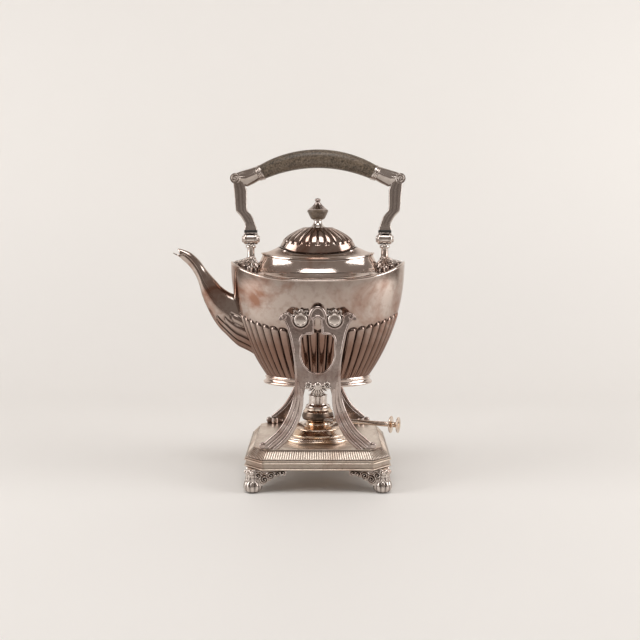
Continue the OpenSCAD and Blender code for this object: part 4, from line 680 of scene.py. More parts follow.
rod = beside(turned([(AXIS, 0), (1.5, 0), (1.5, 0), (1.5, 28), (1.9, 31), (2.1, 60), (2.1, 73), (AXIS, 73)],
                    around=32), -3)
piece("winder_rod_drawn", [rod], lamp_finish, "winder", "silver_plate", "winder_rod")
spool = turned([(AXIS, 0), (3.0, 0), (3.0, 0), (6.4, 0.5), (7.5, 1.1), (7.6, 1.6), (7.4, 1.9), (6.0, 1.8),
                (3.6, 2.3), (2.5, 3.4), (2.3, 5.0), (2.6, 6.2), (3.8, 7.0), (6.0, 7.4), (6.9, 7.7),
                (7.1, 8.2), (6.8, 8.6), (4.6, 8.7), (3.4, 9.2), (2.2, 9.8), (AXIS, 10)], around=64)
piece("winder_knob_turned", [beside(spool, ROD_END - 9)], lamp_finish, "winder", "silver_plate",
      "winder_knob")

# Body: raised from sheet, an oval with soft points at both ends, curving out to the rim. 48
# convex flutes with round tops cover its lower half, higher at the two ends than in front.
hull_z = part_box("kettle_body")[0].z / MM
HULL_A = 47.6
RIM_A = 79.3
DEPTH = 48 / 79.3
RIM_H = 88.8
RIM_RISE = 14.0
FLUTES = 48


def endness(t):
    """How near an angle is to the oval's two ends: 0 in front and behind, 1 at the ends."""
    return np.abs(np.cos(t)) ** 3.3


def hull_half(h):
    """Half the body's length, h above its foot: it widens fast at first and then ever more slowly."""
    return HULL_A + (RIM_A - HULL_A) * (1 - (1 - np.clip(h / (RIM_H + RIM_RISE), 0, 1)) ** 2.1)


def fluted(across, up, cap, groove, proud):
    """How far a row of round-topped flutes stands out, and its painted shade: dark from each crown down
    its sides and in the groove round its top. across runs from 0 to 1
    over each flute; up is the height over the middle of its round top, cap that top's radius."""
    side = np.abs(across - 0.5) * 2
    reach = np.sqrt(side**2 + (np.maximum(up, 0) / cap) ** 2)
    crown = np.sqrt(np.clip(1 - reach**2, 0, 1))
    shoulder = np.clip((reach - 1) / 0.35, 0, 1)
    stand = np.where(reach < 1, (groove + proud) * crown - groove, -groove * (1 - shoulder) ** 2)
    dark = np.where(reach < 1, reach**2.4, (1 - shoulder) ** 2)
    return stand, dark


columns = FLUTES * 14
turn = np.linspace(0, 2 * math.pi, columns, endpoint=False)
phase = turn * FLUTES / (2 * math.pi) % 1
ends = endness(turn)
flute_top = 46.2 + 12.5 * ends
CAP = 3.9
share = np.concatenate([np.linspace(0, 1, 22), 1 + np.linspace(0, 1, 15)[1:],
                        2 + np.linspace(0, 1, 16)[1:]])[:, None]
rim_h = RIM_H + RIM_RISE * ends
up_to = [flute_top - CAP, flute_top + 2.5, rim_h]
up_flute = up_to[0] + (share - 1) * (up_to[1] - up_to[0])
up_side = up_to[1] + (share - 2) * (up_to[2] - up_to[1])
height = np.where(share <= 1, share * up_to[0], np.where(share <= 2, up_flute, up_side))
stand, dark = fluted(phase[None], height - up_to[0], CAP, 1.7, 0.5)
fade = np.clip(0.35 + height / 14, 0, 1)
stand, dark = stand * fade, dark * fade * (height < up_to[1] + 0.5)
lip = 0.45 * np.exp(-((rim_h - height - 1.6) / 0.45) ** 2)
half_long = hull_half(height) + stand - lip


def oval_rings(a, b, z, t, point=0.06):
    """Rings of an oval with soft points at its ends; a, b and z have a row per ring."""
    return np.stack([a * np.cos(t), b * np.sin(t) * (1 - point * np.cos(t) ** 2), z + 0 * t + 0 * a], axis=2)


body_out = oval_rings(half_long, hull_half(height) * DEPTH + stand - lip, hull_z + height, turn[None])
inner_share = np.linspace(1, 0, 9)[:, None]
inner_h = 2.0 + inner_share * (rim_h - 2.0)
inner_inset = 1.6 + 1.6 * (1 - inner_share)
body_in = oval_rings(hull_half(inner_h) - inner_inset, hull_half(inner_h) * DEPTH - inner_inset,
                     hull_z + inner_h, turn[None])
# Painted shade on the flutes' sides and in their grooves, and in the small groove under the rim's bead.
body_dark = np.concatenate([dark + lip, np.zeros_like(inner_h)])
# The body's low tone is a painted dark reflection: its lower part darkens towards a red brown.
body_finish = worn_plate_with_painted_shade("kettle_plate", (0.52, 0.435, 0.385), (0.31, 0.165, 0.115), UMBER, 0.44, patch=17,
                         rough=0.07, dull=0.12,
                         low=(hull_z * MM + 0.03, hull_z * MM + 0.056, (0.235, 0.14, 0.105)))
top_finish = worn_plate_with_painted_shade("cover_plate", (0.72, 0.62, 0.56), (0.58, 0.41, 0.33), UMBER, 0.42, patch=22,
                        rough=0.07, dull=0.12)
piece("kettle_body_raised", [loft(np.concatenate([body_out, body_in]), painted_shade=body_dark)], body_finish,
      "kettle", "silver_plate", "kettle_body")

# Foot ring: a spun oval moulding soldered under the body, with a bead, a hollow and a fillet.
ring_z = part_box("kettle_foot")[0].z / MM
foot_line = flow(np.array([(42.6, 1.6), (47, 0), (47, 0), (49.6, 0), (50.3, 0.7), (50.4, 1.4), (49.9, 2.1),
                           (49.2, 2.4), (48.3, 3.2), (47.9, 4.4), (48.1, 5.2), (48.7, 5.6), (48.7, 6.3),
                           (48.0, 6.8), (47.6, 7.5), (47.6, 7.5), (42.6, 7.5)], float), 4)
foot_turn = np.linspace(0, 2 * math.pi, 256, endpoint=False)
foot_rings = oval_rings(foot_line[:, :1], foot_line[:, :1] * DEPTH, ring_z + foot_line[:, 1:],
                        foot_turn[None])
piece("kettle_foot_spun", [loft(foot_rings, joined=True)], top_finish, "kettle", "silver_plate",
      "kettle_foot")

# Shoulder: a spun cover with a bright bead round the rim, sloping up to the foot of the neck.
NECK_A, NECK_B = 62.0, 38.0
top_turn = np.linspace(0, 2 * math.pi, 384, endpoint=False)[None]
top_ends = endness(top_turn)
neck_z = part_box("kettle_neck")[0].z / MM
rim_z = hull_z + RIM_H + RIM_RISE * top_ends
bead = np.array([(2.4, 0), (0, 0), (-0.15, 0.3), (-0.2, 0.9), (0.15, 1.4), (0.8, 1.7), (1.35, 1.6),
                 (1.7, 1.25), (2.1, 1.15), (2.5, 1.3)])
rim_rings = oval_rings(RIM_A - bead[:, :1], RIM_A * DEPTH - bead[:, :1], rim_z + bead[:, 1:], top_turn)
slope = np.linspace(0, 1, 14)[1:, None, None]
neck_foot = oval_rings(np.array([[NECK_A]]), np.array([[NECK_B]]), np.array([[neck_z]]), top_turn)
cover = rim_rings[-1:] * (1 - slope) + neck_foot * slope
cover[..., 2] -= 0.9 * np.sin(math.pi * slope[..., 0])
inner_edge = oval_rings(np.array([[NECK_A - 4], [NECK_A - 4]]), np.array([[NECK_B - 4], [NECK_B - 4]]),
                        np.array([[neck_z], [neck_z - 1.3]]), top_turn)
# Painted shade in the hollow just inside the rim's bead.
groove = np.concatenate([[0, 0, 0, 0, 0, 0, 0.2, 0.9, 0.7, 0.2], np.zeros(15)])[:, None]
piece("kettle_shoulder_spun", [loft(np.concatenate([rim_rings, cover, inner_edge]), joined=True,
                                    painted_shade=groove)], top_finish, "kettle", "silver_plate", "kettle_shoulder")


# Neck: hollow-sided, its outline sharpening upwards from an oval into a leaf with two points,
# which leaves a soft ridge down each end. The lid's flange rests on it.
def pointed_rings(a, b, z, t, sharp):
    """Rings between an oval and a leaf shape of two arcs that meet at its ends: sharp is the
    share of the leaf shape, whose half-width at x is sqrt(R^2 - x^2) - (R - b)."""
    arc = (a**2 + b**2) / (2 * b)
    x = a * np.cos(t)
    leaf_y = np.sqrt(np.maximum(arc**2 - x**2, 0)) - (arc - b)
    y = np.sign(np.sin(t)) * ((1 - sharp) * b * np.abs(np.sin(t)) + sharp * leaf_y)
    return np.stack([x + 0 * a, y, z + 0 * x], axis=2)


NECK_H = 11.0
TIP_RISE = 4.5
rising = np.array([0, 0.02, 0.05, 0.09, 0.13, 0.18, 0.25, 0.34, 0.44, 0.55, 0.66, 0.77, 0.87, 0.94, 0.97,
                   1.0])[:, None]
hollow = (rising**0.55 - 0.035 * np.exp(-((rising - 0.13) / 0.05) ** 2)
          - 0.05 * np.exp(-((rising - 0.97) / 0.03) ** 2))
neck_a, neck_b = NECK_A + (50 - NECK_A) * hollow, NECK_B + (31.7 - NECK_B) * hollow
neck_height = neck_z + NECK_H * rising + TIP_RISE * rising * top_ends
neck_sharp = 0.42 + 0.4 * rising
neck_out = pointed_rings(neck_a, neck_b, neck_height, top_turn, neck_sharp)
neck_in = pointed_rings(neck_a[::-3] - 1.5, neck_b[::-3] - 1.5, neck_height[::-3], top_turn,
                        neck_sharp[::-3])
# Painted shade in the crease where the neck rises from the shoulder.
neck_dark = np.concatenate([np.exp(-((rising - 0.02) / 0.02) ** 2) * 0.8, np.zeros((len(neck_in), 1))])
piece("kettle_neck_spun", [loft(np.concatenate([neck_out, neck_in]), joined=True, painted_shade=neck_dark)],
      top_finish, "kettle", "silver_plate", "kettle_neck")

# Spout: two stamped halves joined along its sides, curving up to a beak with a notched mouth.
# Long flutes with round tops wrap its lower half; the lowest ones run farthest.
SPOUT_LOW = np.array([(-46, 108), (-52, 110.5), (-58, 113.0), (-62.2, 115.7), (-67.7, 118.5), (-73.3, 121.3),
                      (-78.7, 126.0), (-84.2, 131.6), (-89.7, 137.1), (-95.1, 144.5), (-100.5, 154.7),
                      (-105.9, 166.7), (-108.0, 175.0), (-111.1, 184.2), (-116.5, 193.3), (-121.9, 198.8),
                      (-127.3, 203.4), (-132.3, 206.3)])
SPOUT_HIGH = np.array([(-60, 162), (-66, 164.5), (-72.1, 166.6), (-75.7, 168.4), (-80.2, 170.3),
                       (-84.7, 173.0), (-89.2, 176.7), (-93.7, 181.8), (-98.2, 186.8), (-102.7, 192.3),
                       (-107.2, 198.7), (-111.7, 203.3), (-116.3, 207.0), (-122.6, 209.7), (-127.2, 210.8)])


def even(line, count):
    """The same line with count points at even distances along it."""
    walk = np.concatenate([[0], np.cumsum(np.linalg.norm(np.diff(line, axis=0), axis=1))])
    at = np.linspace(0, walk[-1], count)
    return np.stack([np.interp(at, walk, line[:, k]) for k in range(line.shape[1])], axis=1)


ROWS = 90
low_edge, high_edge = even(flow(SPOUT_LOW, 6), ROWS), even(flow(SPOUT_HIGH, 6), ROWS)
u = np.linspace(0, 1, ROWS)[:, None]
phi = np.linspace(0, 2 * math.pi, 180, endpoint=False)[None]
side = np.sin(phi)
around = np.degrees(np.arccos(np.cos(phi)))
band = around / 21.0
number = np.clip(np.floor(band), 0, 6)
tops = np.array([0.60, 0.49, 0.40, 0.31, 0.23, 0.0, 0.0])[number.astype(int)]
width = 3.3 + (12.3 - 3.3) * (1 - u) ** 1.25
# The flutes' painted shade: darker down their sides and in the grooves round their tops.
stand, dark = fluted(band % 1, (u - tops) * 130, 3.4, 1.3, 0.4)
live = (number < 5) * np.clip(u * 9, 0, 1)
stand, dark = stand * live, dark * live
# The crease along each side is cut in and also gets painted shade.
crease = np.exp(-((around - 96) / 9) ** 2) * np.clip((u - 0.35) / 0.2, 0, 1)
stand, dark = stand - 0.35 * crease, dark + 0.35 * crease


def spout_rings(grow):
    """Rings from the lower to the upper edge: an oval in the plane across the spout, wider or
    narrower by grow, whose mouth is drawn back at the two sides into a notch."""
    middle, arm = (low_edge + high_edge) / 2, (high_edge - low_edge) / 2
    reach = np.linalg.norm(arm, axis=1, keepdims=True)
    up = arm / reach
    ahead = np.stack([-up[:, 1], up[:, 0]], axis=1)
    scale = -np.cos(phi) * (reach + grow)
    back = -7.5 * (1 - np.abs(np.cos(phi))) * np.clip((u - 0.86) / 0.14, 0, 1) ** 1.6
    x = middle[:, :1] + up[:, :1] * scale + ahead[:, :1] * back
    z = middle[:, 1:] + up[:, 1:] * scale + ahead[:, 1:] * back
    return np.stack([x, side * (width + grow), z], axis=2)


spout_out, spout_in = spout_rings(stand), spout_rings(-0.9 + 0 * stand)[::-1]
spout_shape = loft(np.concatenate([spout_out, spout_in]), joined=True,
                   painted_shade=np.concatenate([dark, np.zeros_like(dark)]))
piece("spout_pressed", [spout_shape], body_finish, "kettle", "silver_plate", "spout", sharp=60)

# Studs and their brackets: turned pins with a domed head and a raised ring, each carried by a
# small cast fan of leaves soldered to the body's side. They hang in the frames' rests.
BODY_GAP = 1.2
TO_BACK = [[1, 0, 0], [0, 0, 1], [0, -1, 0]]
head = turned([(AXIS, 0), (4.0, 0), (4.0, 0), (4.0, 5.85), (4.0, 5.85), (5.6, 5.85), (5.8, 6.2), (5.7, 6.9),
               (5.2, 7.4), (4.5, 7.4), (4.2, 7.05), (3.9, 6.95), (2.4, 7.2), (AXIS, 7.3)], around=56)
facing = tilted(head, TO_FRONT, (0, -(FRAME_IN - BODY_GAP), 0))
fan = []
for angle, long, wide in ((90, 9.0, 3.6), (122, 10.2, 3.8), (58, 10.2, 3.8), (154, 9.0, 3.4),
                          (26, 9.0, 3.4)):
    shape = leaf(long, wide, 1.5, curl=-1.5 * math.cos(math.radians(angle)), tip_up=0.6)
    fan.append(tilted(shape, leaf_on_front(angle), (0, -(FRAME_IN - BODY_GAP - 1.4), 0)))
boss = tilted(turned([(AXIS, 0), (5.0, 0), (5.2, 0.6), (5.2, 4.4), (AXIS, 4.4)], around=40),
              TO_BACK, (0, -(FRAME_IN - BODY_GAP), 0))
for sx, x_name in ((-1, "left"), (1, "right")):
    for flip, y_name in ((1, "front"), (-1, "back")):
        at = (sx * STUD_X, 0, STUD_Z)
        piece(f"stud_{y_name}_{x_name}_turned", [moved(moved(facing, at), flip=(1, flip, 1))], stand_finish,
              "kettle", "silver_plate", f"stud_{y_name}_{x_name}")
        leaves = [moved(moved(shape, at), flip=(1, flip, 1)) for shape in (*fan, boss)]
        piece(f"stud_bracket_{y_name}_{x_name}_cast", leaves, stand_finish, "kettle", "silver_plate",
              f"stud_bracket_{y_name}_{x_name}")

# Post plates and posts: a cast mound of leaves on each end of the shoulder spreads the load of a
# turned post with two collars and an eye at the top.
POST_X = 61.0
PIVOT_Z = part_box("handle_post_right")[1].z / MM - 4.6
post_foot = hull_z + RIM_H + RIM_RISE + 1.3
mound_turn = np.linspace(0, 2 * math.pi, 144, endpoint=False)[None]
climb = np.linspace(0, 1, 18)[:, None]
lobes = np.abs(np.cos(mound_turn * 5.5)) ** 0.7


def mound_at(a, c):
    """Points on the mound: angle a round the post, c from 0 at its edge to 1 at the post's foot. The
    edge lies along the shoulder, which rises outwards from the neck's foot to the rim."""
    side_share = np.where(np.cos(a) > 0, 0.80, 0.62)
    x = POST_X + 1.5 * (1 - c) + (13.6 * (1 - c) + 4.2) * np.cos(a) * side_share
    y = (9.6 * (1 - c) + 4.2) * np.sin(a)
    edge = neck_z + 1.8 + 6.6 * np.clip((x - 56) / 20, 0, 1)
    return np.stack([x, y, edge + (post_foot + 3.2 - edge) * c**0.8], axis=-1)


mound = mound_at(mound_turn, climb)
wave = (0.12 * (1 - lobes) * (1 - climb) ** 0.7)[..., None]
mound[..., :2] = mound[..., :2] * (1 - wave) + np.array([POST_X, 0]) * wave
mound_skirt = mound[:1] + [0, 0, -5.0]
# Painted shade between the mound's lobes, most towards its edge, and a light share over all of it.
mound_shape = loft(np.concatenate([mound_skirt, mound]),
                   painted_shade=np.concatenate([1 - lobes, (1 - lobes) * (1 - climb) + 0.3]))
sprigs = []
for k in range(26):
    a = 2 * math.pi * k / 26
    near = 0.92 if k % 2 else 0.55
    root, tip = mound_at(a, near), mound_at(a, near - 0.42)
    ahead = (tip - root) / np.linalg.norm(tip - root)
    across = np.array([-math.sin(a), math.cos(a), 0])
    lift = np.cross(ahead, across)
    long = 1.15 * np.linalg.norm(tip - root) + 0.6
    sprigs.append(tilted(leaf(long, 1.7, 1.0, tip_up=0.5), np.stack([ahead, across, lift], axis=1), root))
drop = PIVOT_Z - 5.0
post = turned([(AXIS, post_foot + 2.4), (4.4, post_foot + 2.4), (4.5, post_foot + 3.4),
               (3.8, post_foot + 4.2), (3.4, post_foot + 5.2), (3.4, drop - 4.0), (3.7, drop - 3.4),
               (4.5, drop - 2.9), (4.75, drop - 2.0), (4.6, drop - 1.0), (3.9, drop - 0.5),
               (3.0, drop - 0.3), (2.8, drop + 0.6), (AXIS, drop + 0.6)], around=48)
eye = turned([(1.66, -3.2), (4.2, -3.2), (4.6, -2.8), (4.6, 2.8), (4.2, 3.2), (1.66, 3.2)], around=48,
             bored=True)
eye = tilted(eye, TO_RIGHT, (0, 0, PIVOT_Z))
for side_x, name in ((1, "right"), (-1, "left")):
    mirror = (side_x, 1, 1)
    piece(f"post_plate_{name}_cast", [moved(shape, flip=mirror) for shape in (mound_shape, *sprigs)],
          stand_finish, "kettle", "silver_plate", f"post_plate_{name}")
    piece(f"handle_post_{name}_turned",
          [moved(post, (side_x * POST_X, 0, 0)), moved(eye, (side_x * POST_X, 0, 0))],
          stand_finish, "kettle", "silver_plate", f"handle_post_{name}")

# Lid: a stamped plate with a moulded flange of two points, rising in a hollow to the foot of an
# oval dome.
lid_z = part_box("lid_plate")[0].z / MM
LID_A, LID_B = 51.7, 33.0
DOME_A, DOME_B = 34.0, 23.5
DOME_FOOT = 4.6
DOME_RISE = 6.5
edge_line = np.array([(0, 0.0), (0, 0.7), (0.25, 1.15), (0.7, 1.3), (1.1, 1.1), (1.4, 0.85), (1.8, 1.0),
                      (2.2, 1.45), (2.7, 1.55), (3.1, 1.3)])
flange = pointed_rings(LID_A - edge_line[:, :1], LID_B - edge_line[:, :1] * 0.9,
                       lid_z + edge_line[:, 1:] + TIP_RISE * top_ends, top_turn, 0.85)
flange_a, flange_b = LID_A - 3.1, LID_B - 2.8
slope_a, slope_b = DOME_A + 1.6, DOME_B + 1.3
inward = np.linspace(0, 1, 16)[1:, None]
span = inward**0.62
rise = pointed_rings(flange_a + (slope_a - flange_a) * span, flange_b + (slope_b - flange_b) * span,
                     lid_z + 1.3 + (DOME_FOOT - 1.2) * inward**0.8
                     + (TIP_RISE + (DOME_RISE - TIP_RISE) * inward) * top_ends,
                     top_turn, 0.85 * (1 - inward) ** 0.8)
under_z = np.array([[lid_z + DOME_FOOT], [lid_z]]) + np.array([[DOME_RISE], [TIP_RISE]]) * top_ends
under = pointed_rings(np.array([[slope_a], [LID_A - 5]]), np.array([[slope_b], [LID_B - 4.4]]), under_z,
                      top_turn, np.array([[0.0], [0.8]]))
# Painted shade in the flange's groove, at its inner edge and at the foot of the dome.
lid_dark = np.concatenate([[0, 0, 0, 0.1, 0.6, 0.9, 0.5, 0, 0, 0.3], inward[:, 0] ** 6 * 0.8, [0, 0]])
piece("lid_plate_stamped", [loft(np.concatenate([flange, rise, under]), joined=True,
                                 painted_shade=lid_dark[:, None])], top_finish, "lid", "silver_plate", "lid_plate")

# Dome: chased with 24 gadroons that meet under the finial. A roll and a plain band run round its
# foot, both higher at the two ends, like the lid they sit on.
GADROONS = 24
dome_turn = np.linspace(0, 2 * math.pi, GADROONS * 16, endpoint=False)[None]
dome_ends = endness(dome_turn)
dome_z = lid_z + DOME_FOOT
finial_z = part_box("lid_dome")[1].z / MM
DOME_TOP = finial_z + 0.05
band_top = dome_z + 7.8 + 3.6 * dome_ends
roll_line = np.array([(1.0, 0.0), (1.02, 0.2), (1.025, 0.55), (1.01, 0.85), (0.985, 1.05), (0.985, 1.3),
                      (1.0, 1.6)])
roll_rings = [np.stack([DOME_A * r * np.cos(dome_turn[0]), DOME_B * r * np.sin(dome_turn[0]),
                        dome_z + up + DOME_RISE * dome_ends[0]], axis=1) for r, up in roll_line]
plain = np.linspace(0, 1, 6)[1:, None]
plain_z = (dome_z + 1.6 + DOME_RISE * dome_ends) * (1 - plain) + band_top * plain
arch = np.linspace(0, 1, 34)[1:, None]
arch_share = 0.94 - 0.55 * arch**1.55
across = dome_turn * GADROONS / (2 * math.pi) % 1
stand, dark = fluted(across, (0.10 - arch) * 32, 3.2, 0.85, 0.25)
live = np.clip((1 - arch) * 5, 0, 1)
arch_z = band_top + (DOME_TOP - band_top) * arch
crown = np.array([(0.385, 0.0), (0.33, 0.12), (0.22, 0.2), (0.1, 0.25)])
swell = 1 - 0.06 * plain
dome_rings = np.concatenate([
    np.stack(roll_rings),
    np.stack([DOME_A * swell * np.cos(dome_turn), DOME_B * swell * np.sin(dome_turn), plain_z], axis=2),
    np.stack([(DOME_A * arch_share + stand * live) * np.cos(dome_turn),
              (DOME_B * arch_share + stand * live) * np.sin(dome_turn), arch_z], axis=2),
    np.stack([DOME_A * crown[:, :1] * np.cos(dome_turn), DOME_B * crown[:, :1] * np.sin(dome_turn),
              DOME_TOP - 0.2 + crown[:, 1:] + 0 * dome_turn], axis=2)])
hollow_rings = []
for r, share in ((0.1, 0.90), (0.4, 0.84), (0.75, 0.6), (0.93, 0.3), (0.95, 0.0)):
    ring_z = share * (DOME_TOP - dome_z) + dome_z + DOME_RISE * dome_ends[0] * (1 - share) ** 1.5
    hollow_rings.append(np.stack([DOME_A * r * np.cos(dome_turn[0]), DOME_B * r * np.sin(dome_turn[0]),
                                  ring_z], axis=1))
hollow_rings = np.stack(hollow_rings)
# Painted shade in the hollow above the roll and on the gadroons' sides and grooves.
dome_dark = np.concatenate([np.array([0, 0, 0, 0.4, 1, 1, 0.3])[:, None] + 0 * dome_turn, 0 * plain_z,
                            dark * live, np.zeros((4 + 5, dome_turn.size))])
piece("lid_dome_chased", [loft(np.concatenate([dome_rings, hollow_rings]), joined=False, painted_shade=dome_dark)],
      body_finish, "lid", "silver_plate", "lid_dome")


# Finial: a turned silver stem, a bowl of dark composition that stays cool, and over it a ribbed
# silver cone with a ball. One screw runs up through all three.
def composition(name, dark_tone, light_tone, rough, grain, sheen=0.5):
    """A pressed dark insulating stuff: two tones mottled by a coarse and a fine noise, and a low bump
    of the same grain."""
    finish = bpy.data.materials.new(name)
    finish.use_nodes = True
    tree = finish.node_tree
    shader = tree.nodes["Principled BSDF"]
    place = tree.nodes.new("ShaderNodeTexCoord")
    coarse, fine = tree.nodes.new("ShaderNodeTexNoise"), tree.nodes.new("ShaderNodeTexNoise")
    coarse.inputs["Scale"].default_value, coarse.inputs["Detail"].default_value = grain, 4
    fine.inputs["Scale"].default_value, fine.inputs["Detail"].default_value = grain * 6, 5
    ramp = tree.nodes.new("ShaderNodeValToRGB")
    ramp.color_ramp.elements[0].position, ramp.color_ramp.elements[1].position = 0.36, 0.66
    ramp.color_ramp.elements[0].color = (*dark_tone, 1)
    ramp.color_ramp.elements[1].color = (*light_tone, 1)
    mix = tree.nodes.new("ShaderNodeMath")
    mix.operation = "MULTIPLY_ADD"
    mix.inputs[1].default_value = 0.75
    bump = tree.nodes.new("ShaderNodeBump")
    bump.inputs["Strength"].default_value = 0.25
    bump.inputs["Distance"].default_value = 0.0004
    shade = tree.nodes.new("ShaderNodeMath")
    shade.operation = "MULTIPLY"
    shade.inputs[1].default_value = 0.25
    for noise in (coarse, fine):
        tree.links.new(place.outputs["Object"], noise.inputs["Vector"])
    tree.links.new(coarse.outputs["Fac"], shade.inputs[0])
    tree.links.new(fine.outputs["Fac"], mix.inputs[0])
    tree.links.new(shade.outputs[0], mix.inputs[2])
    tree.links.new(mix.outputs[0], ramp.inputs["Fac"])
    tree.links.new(ramp.outputs["Color"], shader.inputs["Base Color"])
    tree.links.new(fine.outputs["Fac"], bump.inputs["Height"])
    tree.links.new(bump.outputs["Normal"], shader.inputs["Normal"])
    shader.inputs["Roughness"].default_value = rough
    shader.inputs["Specular IOR Level"].default_value = sheen
    return finish


grip_dark = composition("dark_composition", (0.04, 0.03, 0.021), (0.22, 0.165, 0.115), 0.42, 110)
bowl_brown = composition("bowl_composition", (0.06, 0.042, 0.03), (0.26, 0.195, 0.14), 0.28, 160)
finial_foot = (0, 0, finial_z)
stem = turned([(AXIS, -0.6), (6.6, -0.6), (6.8, 0.1), (6.4, 0.7), (5.6, 1.3), (4.6, 2.6), (3.9, 4.0),
               (3.5, 5.4), (3.6, 6.1), (4.3, 6.5), (4.3, 7.0), (3.6, 7.2), (AXIS, 7.2)], around=64)
piece("finial_stem_turned", [moved(stem, finial_foot)], stand_finish, "lid", "silver_plate", "finial_stem")
bowl = turned([(AXIS, 7.0), (4.6, 7.0), (6.2, 7.9), (7.2, 9.4), (8.0, 11.2), (8.8, 12.9), (9.0, 13.3),
               (8.8, 13.6), (8.8, 13.6), (9.4, 13.9), (9.5, 14.6), (9.4, 15.4), (8.8, 15.8), (8.0, 15.9),
               (AXIS, 15.9)], around=96)
piece("finial_bowl_turned", [moved(bowl, finial_foot)], bowl_brown, "lid", "dark_grip", "finial_bowl")
cone = turned([(AXIS, 15.7), (8.6, 15.7), (8.3, 16.4), (7.4, 17.2), (6.0, 18.4), (4.4, 19.8), (3.0, 21.4),
               (2.1, 22.6), (1.7, 23.2), (1.7, 23.2), (2.4, 23.8), (2.75, 24.7), (2.4, 25.6), (1.4, 26.1),
               (1.0, 26.2), (0.7, 26.4), (AXIS, 26.45)], around=120, lobes=20, depth=0.35)
piece("finial_button_turned", [moved(cone, finial_foot)], frame_finish, "lid", "silver_plate",
      "finial_button")

# Handle ends: each post's eye sits between two rounded cheeks with a bridge over it and a pin
# through it. A black washer keeps the heat out of the strut above.
handle_finish = worn_plate_with_painted_shade("handle_silver", (0.60, 0.535, 0.49), (0.46, 0.385, 0.335), UMBER, 0.4, patch=16,
                           rough=0.14)
cheek = turned([(AXIS, 3.5), (4.5, 3.5), (4.9, 3.8), (5.0, 4.4), (4.9, 5.4), (4.4, 6.2), (3.8, 6.6),
                (3.6, 6.7), (3.1, 7.0), (AXIS, 7.0)], around=56)
pin_end = turned([(AXIS, 6.9), (2.7, 6.9), (3.0, 7.2), (2.9, 7.8), (2.2, 8.15), (AXIS, 8.2)], around=40)
shaft = turned([(AXIS, -7.2), (1.6, -7.2), (1.6, 7.2), (AXIS, 7.2)], around=32)
TO_LEFT = [[0, 0, -1], [0, 1, 0], [1, 0, 0]]


def block(rows, points=56, corner=0.3):
    """A stack of rounded rectangles about +Z: each row gives height, middle x, half-width and
    half-depth, and a lower corner value makes squarer corners."""
    t = np.linspace(0, 2 * math.pi, points, endpoint=False)[None]
    z, x, w, d = (np.asarray(rows, float)[:, k:k + 1] for k in range(4))
    cx = np.sign(np.cos(t)) * np.abs(np.cos(t)) ** corner
    cy = np.sign(np.sin(t)) * np.abs(np.sin(t)) ** corner
    return loft(np.stack([x + w * cx, d * cy, z + 0 * t], axis=2))


bridge = block([(PIVOT_Z + 4.7, 0, 5.8, 3.7), (PIVOT_Z + 4.9, 0, 6.1, 4.0), (PIVOT_Z + 5.5, 0, 6.1, 4.0),
                (PIVOT_Z + 5.8, 0, 5.6, 3.8)])
arms = [block([(PIVOT_Z, sx * 5.1, 1.4, 3.6), (PIVOT_Z + 5.0, sx * 5.0, 1.2, 3.8)]) for sx in (-1, 1)]
band_z = PIVOT_Z + 5.7
washer = block([(band_z, 0, 5.5, 3.7), (band_z + 0.25, 0, 5.9, 4.0), (band_z + 1.2, 0, 6.0, 4.1),
                (band_z + 2.2, 0, 5.9, 4.0), (band_z + 2.5, 0, 5.5, 3.7)])
black = composition("black_insulator", (0.012, 0.011, 0.01), (0.04, 0.036, 0.033), 0.4, 200)
for side_x, name in ((1, "right"), (-1, "left")):
    at = (side_x * POST_X, 0, 0)
    cheeks = [tilted(cheek, TO_RIGHT, (0, 0, PIVOT_Z)), tilted(cheek, TO_LEFT, (0, 0, PIVOT_Z)), bridge,
              *arms]
    piece(f"knuckle_{name}_cast", [moved(shape, at) for shape in cheeks], handle_finish, "handle",
          "silver_plate", f"knuckle_{name}")
    pins = [tilted(pin_end, TO_RIGHT, (0, 0, PIVOT_Z)), tilted(pin_end, TO_LEFT, (0, 0, PIVOT_Z)),
            tilted(shaft, TO_RIGHT, (0, 0, PIVOT_Z))]
    piece(f"pivot_pin_{name}_turned", [moved(shape, at) for shape in pins], handle_finish, "handle",
          "silver_plate", f"pivot_pin_{name}")
    piece(f"insulator_{name}_cut", [moved(washer, at)], black, "handle", "black_insulator",
          f"insulator_{name}")

# Struts: cast flat straps with three reeds down each broad face. Each steps outwards at an elbow
# and rolls over at the top into a scroll, which a horn joins to the grip's end rings.
STRUT_LOW, STRUT_HIGH = 227.5, 272.0
strut_outer = np.array([(STRUT_LOW, 66.8), (229.6, 66.6), (230.4, 66.2), (233.4, 66.3), (236.1, 67.8),
                        (238.8, 69.4), (241.5, 71.5), (244.2, 74.1), (246.9, 74.6), (252, 75.1),
                        (257.7, 75.4), (265.8, 76.1), (268.5, 76.3), (STRUT_HIGH, 76.4)])
strut_inner = np.array([(STRUT_LOW, 55.2), (229.6, 55.4), (230.4, 56.0), (233.4, 57.1), (236.1, 58),
                        (238.8, 58.9), (241.5, 60.7), (244.2, 63.4), (246.9, 64.2), (252, 64.3), (263, 64.2),
                        (265.8, 65), (269, 66.5), (STRUT_HIGH, 68)])
levels = np.linspace(STRUT_LOW, STRUT_HIGH, 90)
outer_x = np.interp(levels, strut_outer[:, 0], strut_outer[:, 1])[:, None]
inner_x = np.interp(levels, strut_inner[:, 0], strut_inner[:, 1])[:, None]
t = np.linspace(0, 2 * math.pi, 96, endpoint=False)[None]
cx = np.sign(np.cos(t)) * np.abs(np.cos(t)) ** 0.45
cy = np.sign(np.sin(t)) * np.abs(np.sin(t)) ** 0.22
reed_on = np.clip((levels[:, None] - 231) / 3, 0, 1) * np.clip((STRUT_HIGH - levels[:, None]) / 3, 0, 1)
reeds = np.abs(np.sin(1.5 * math.pi * (cx + 1)))
REED_IN = 0.18
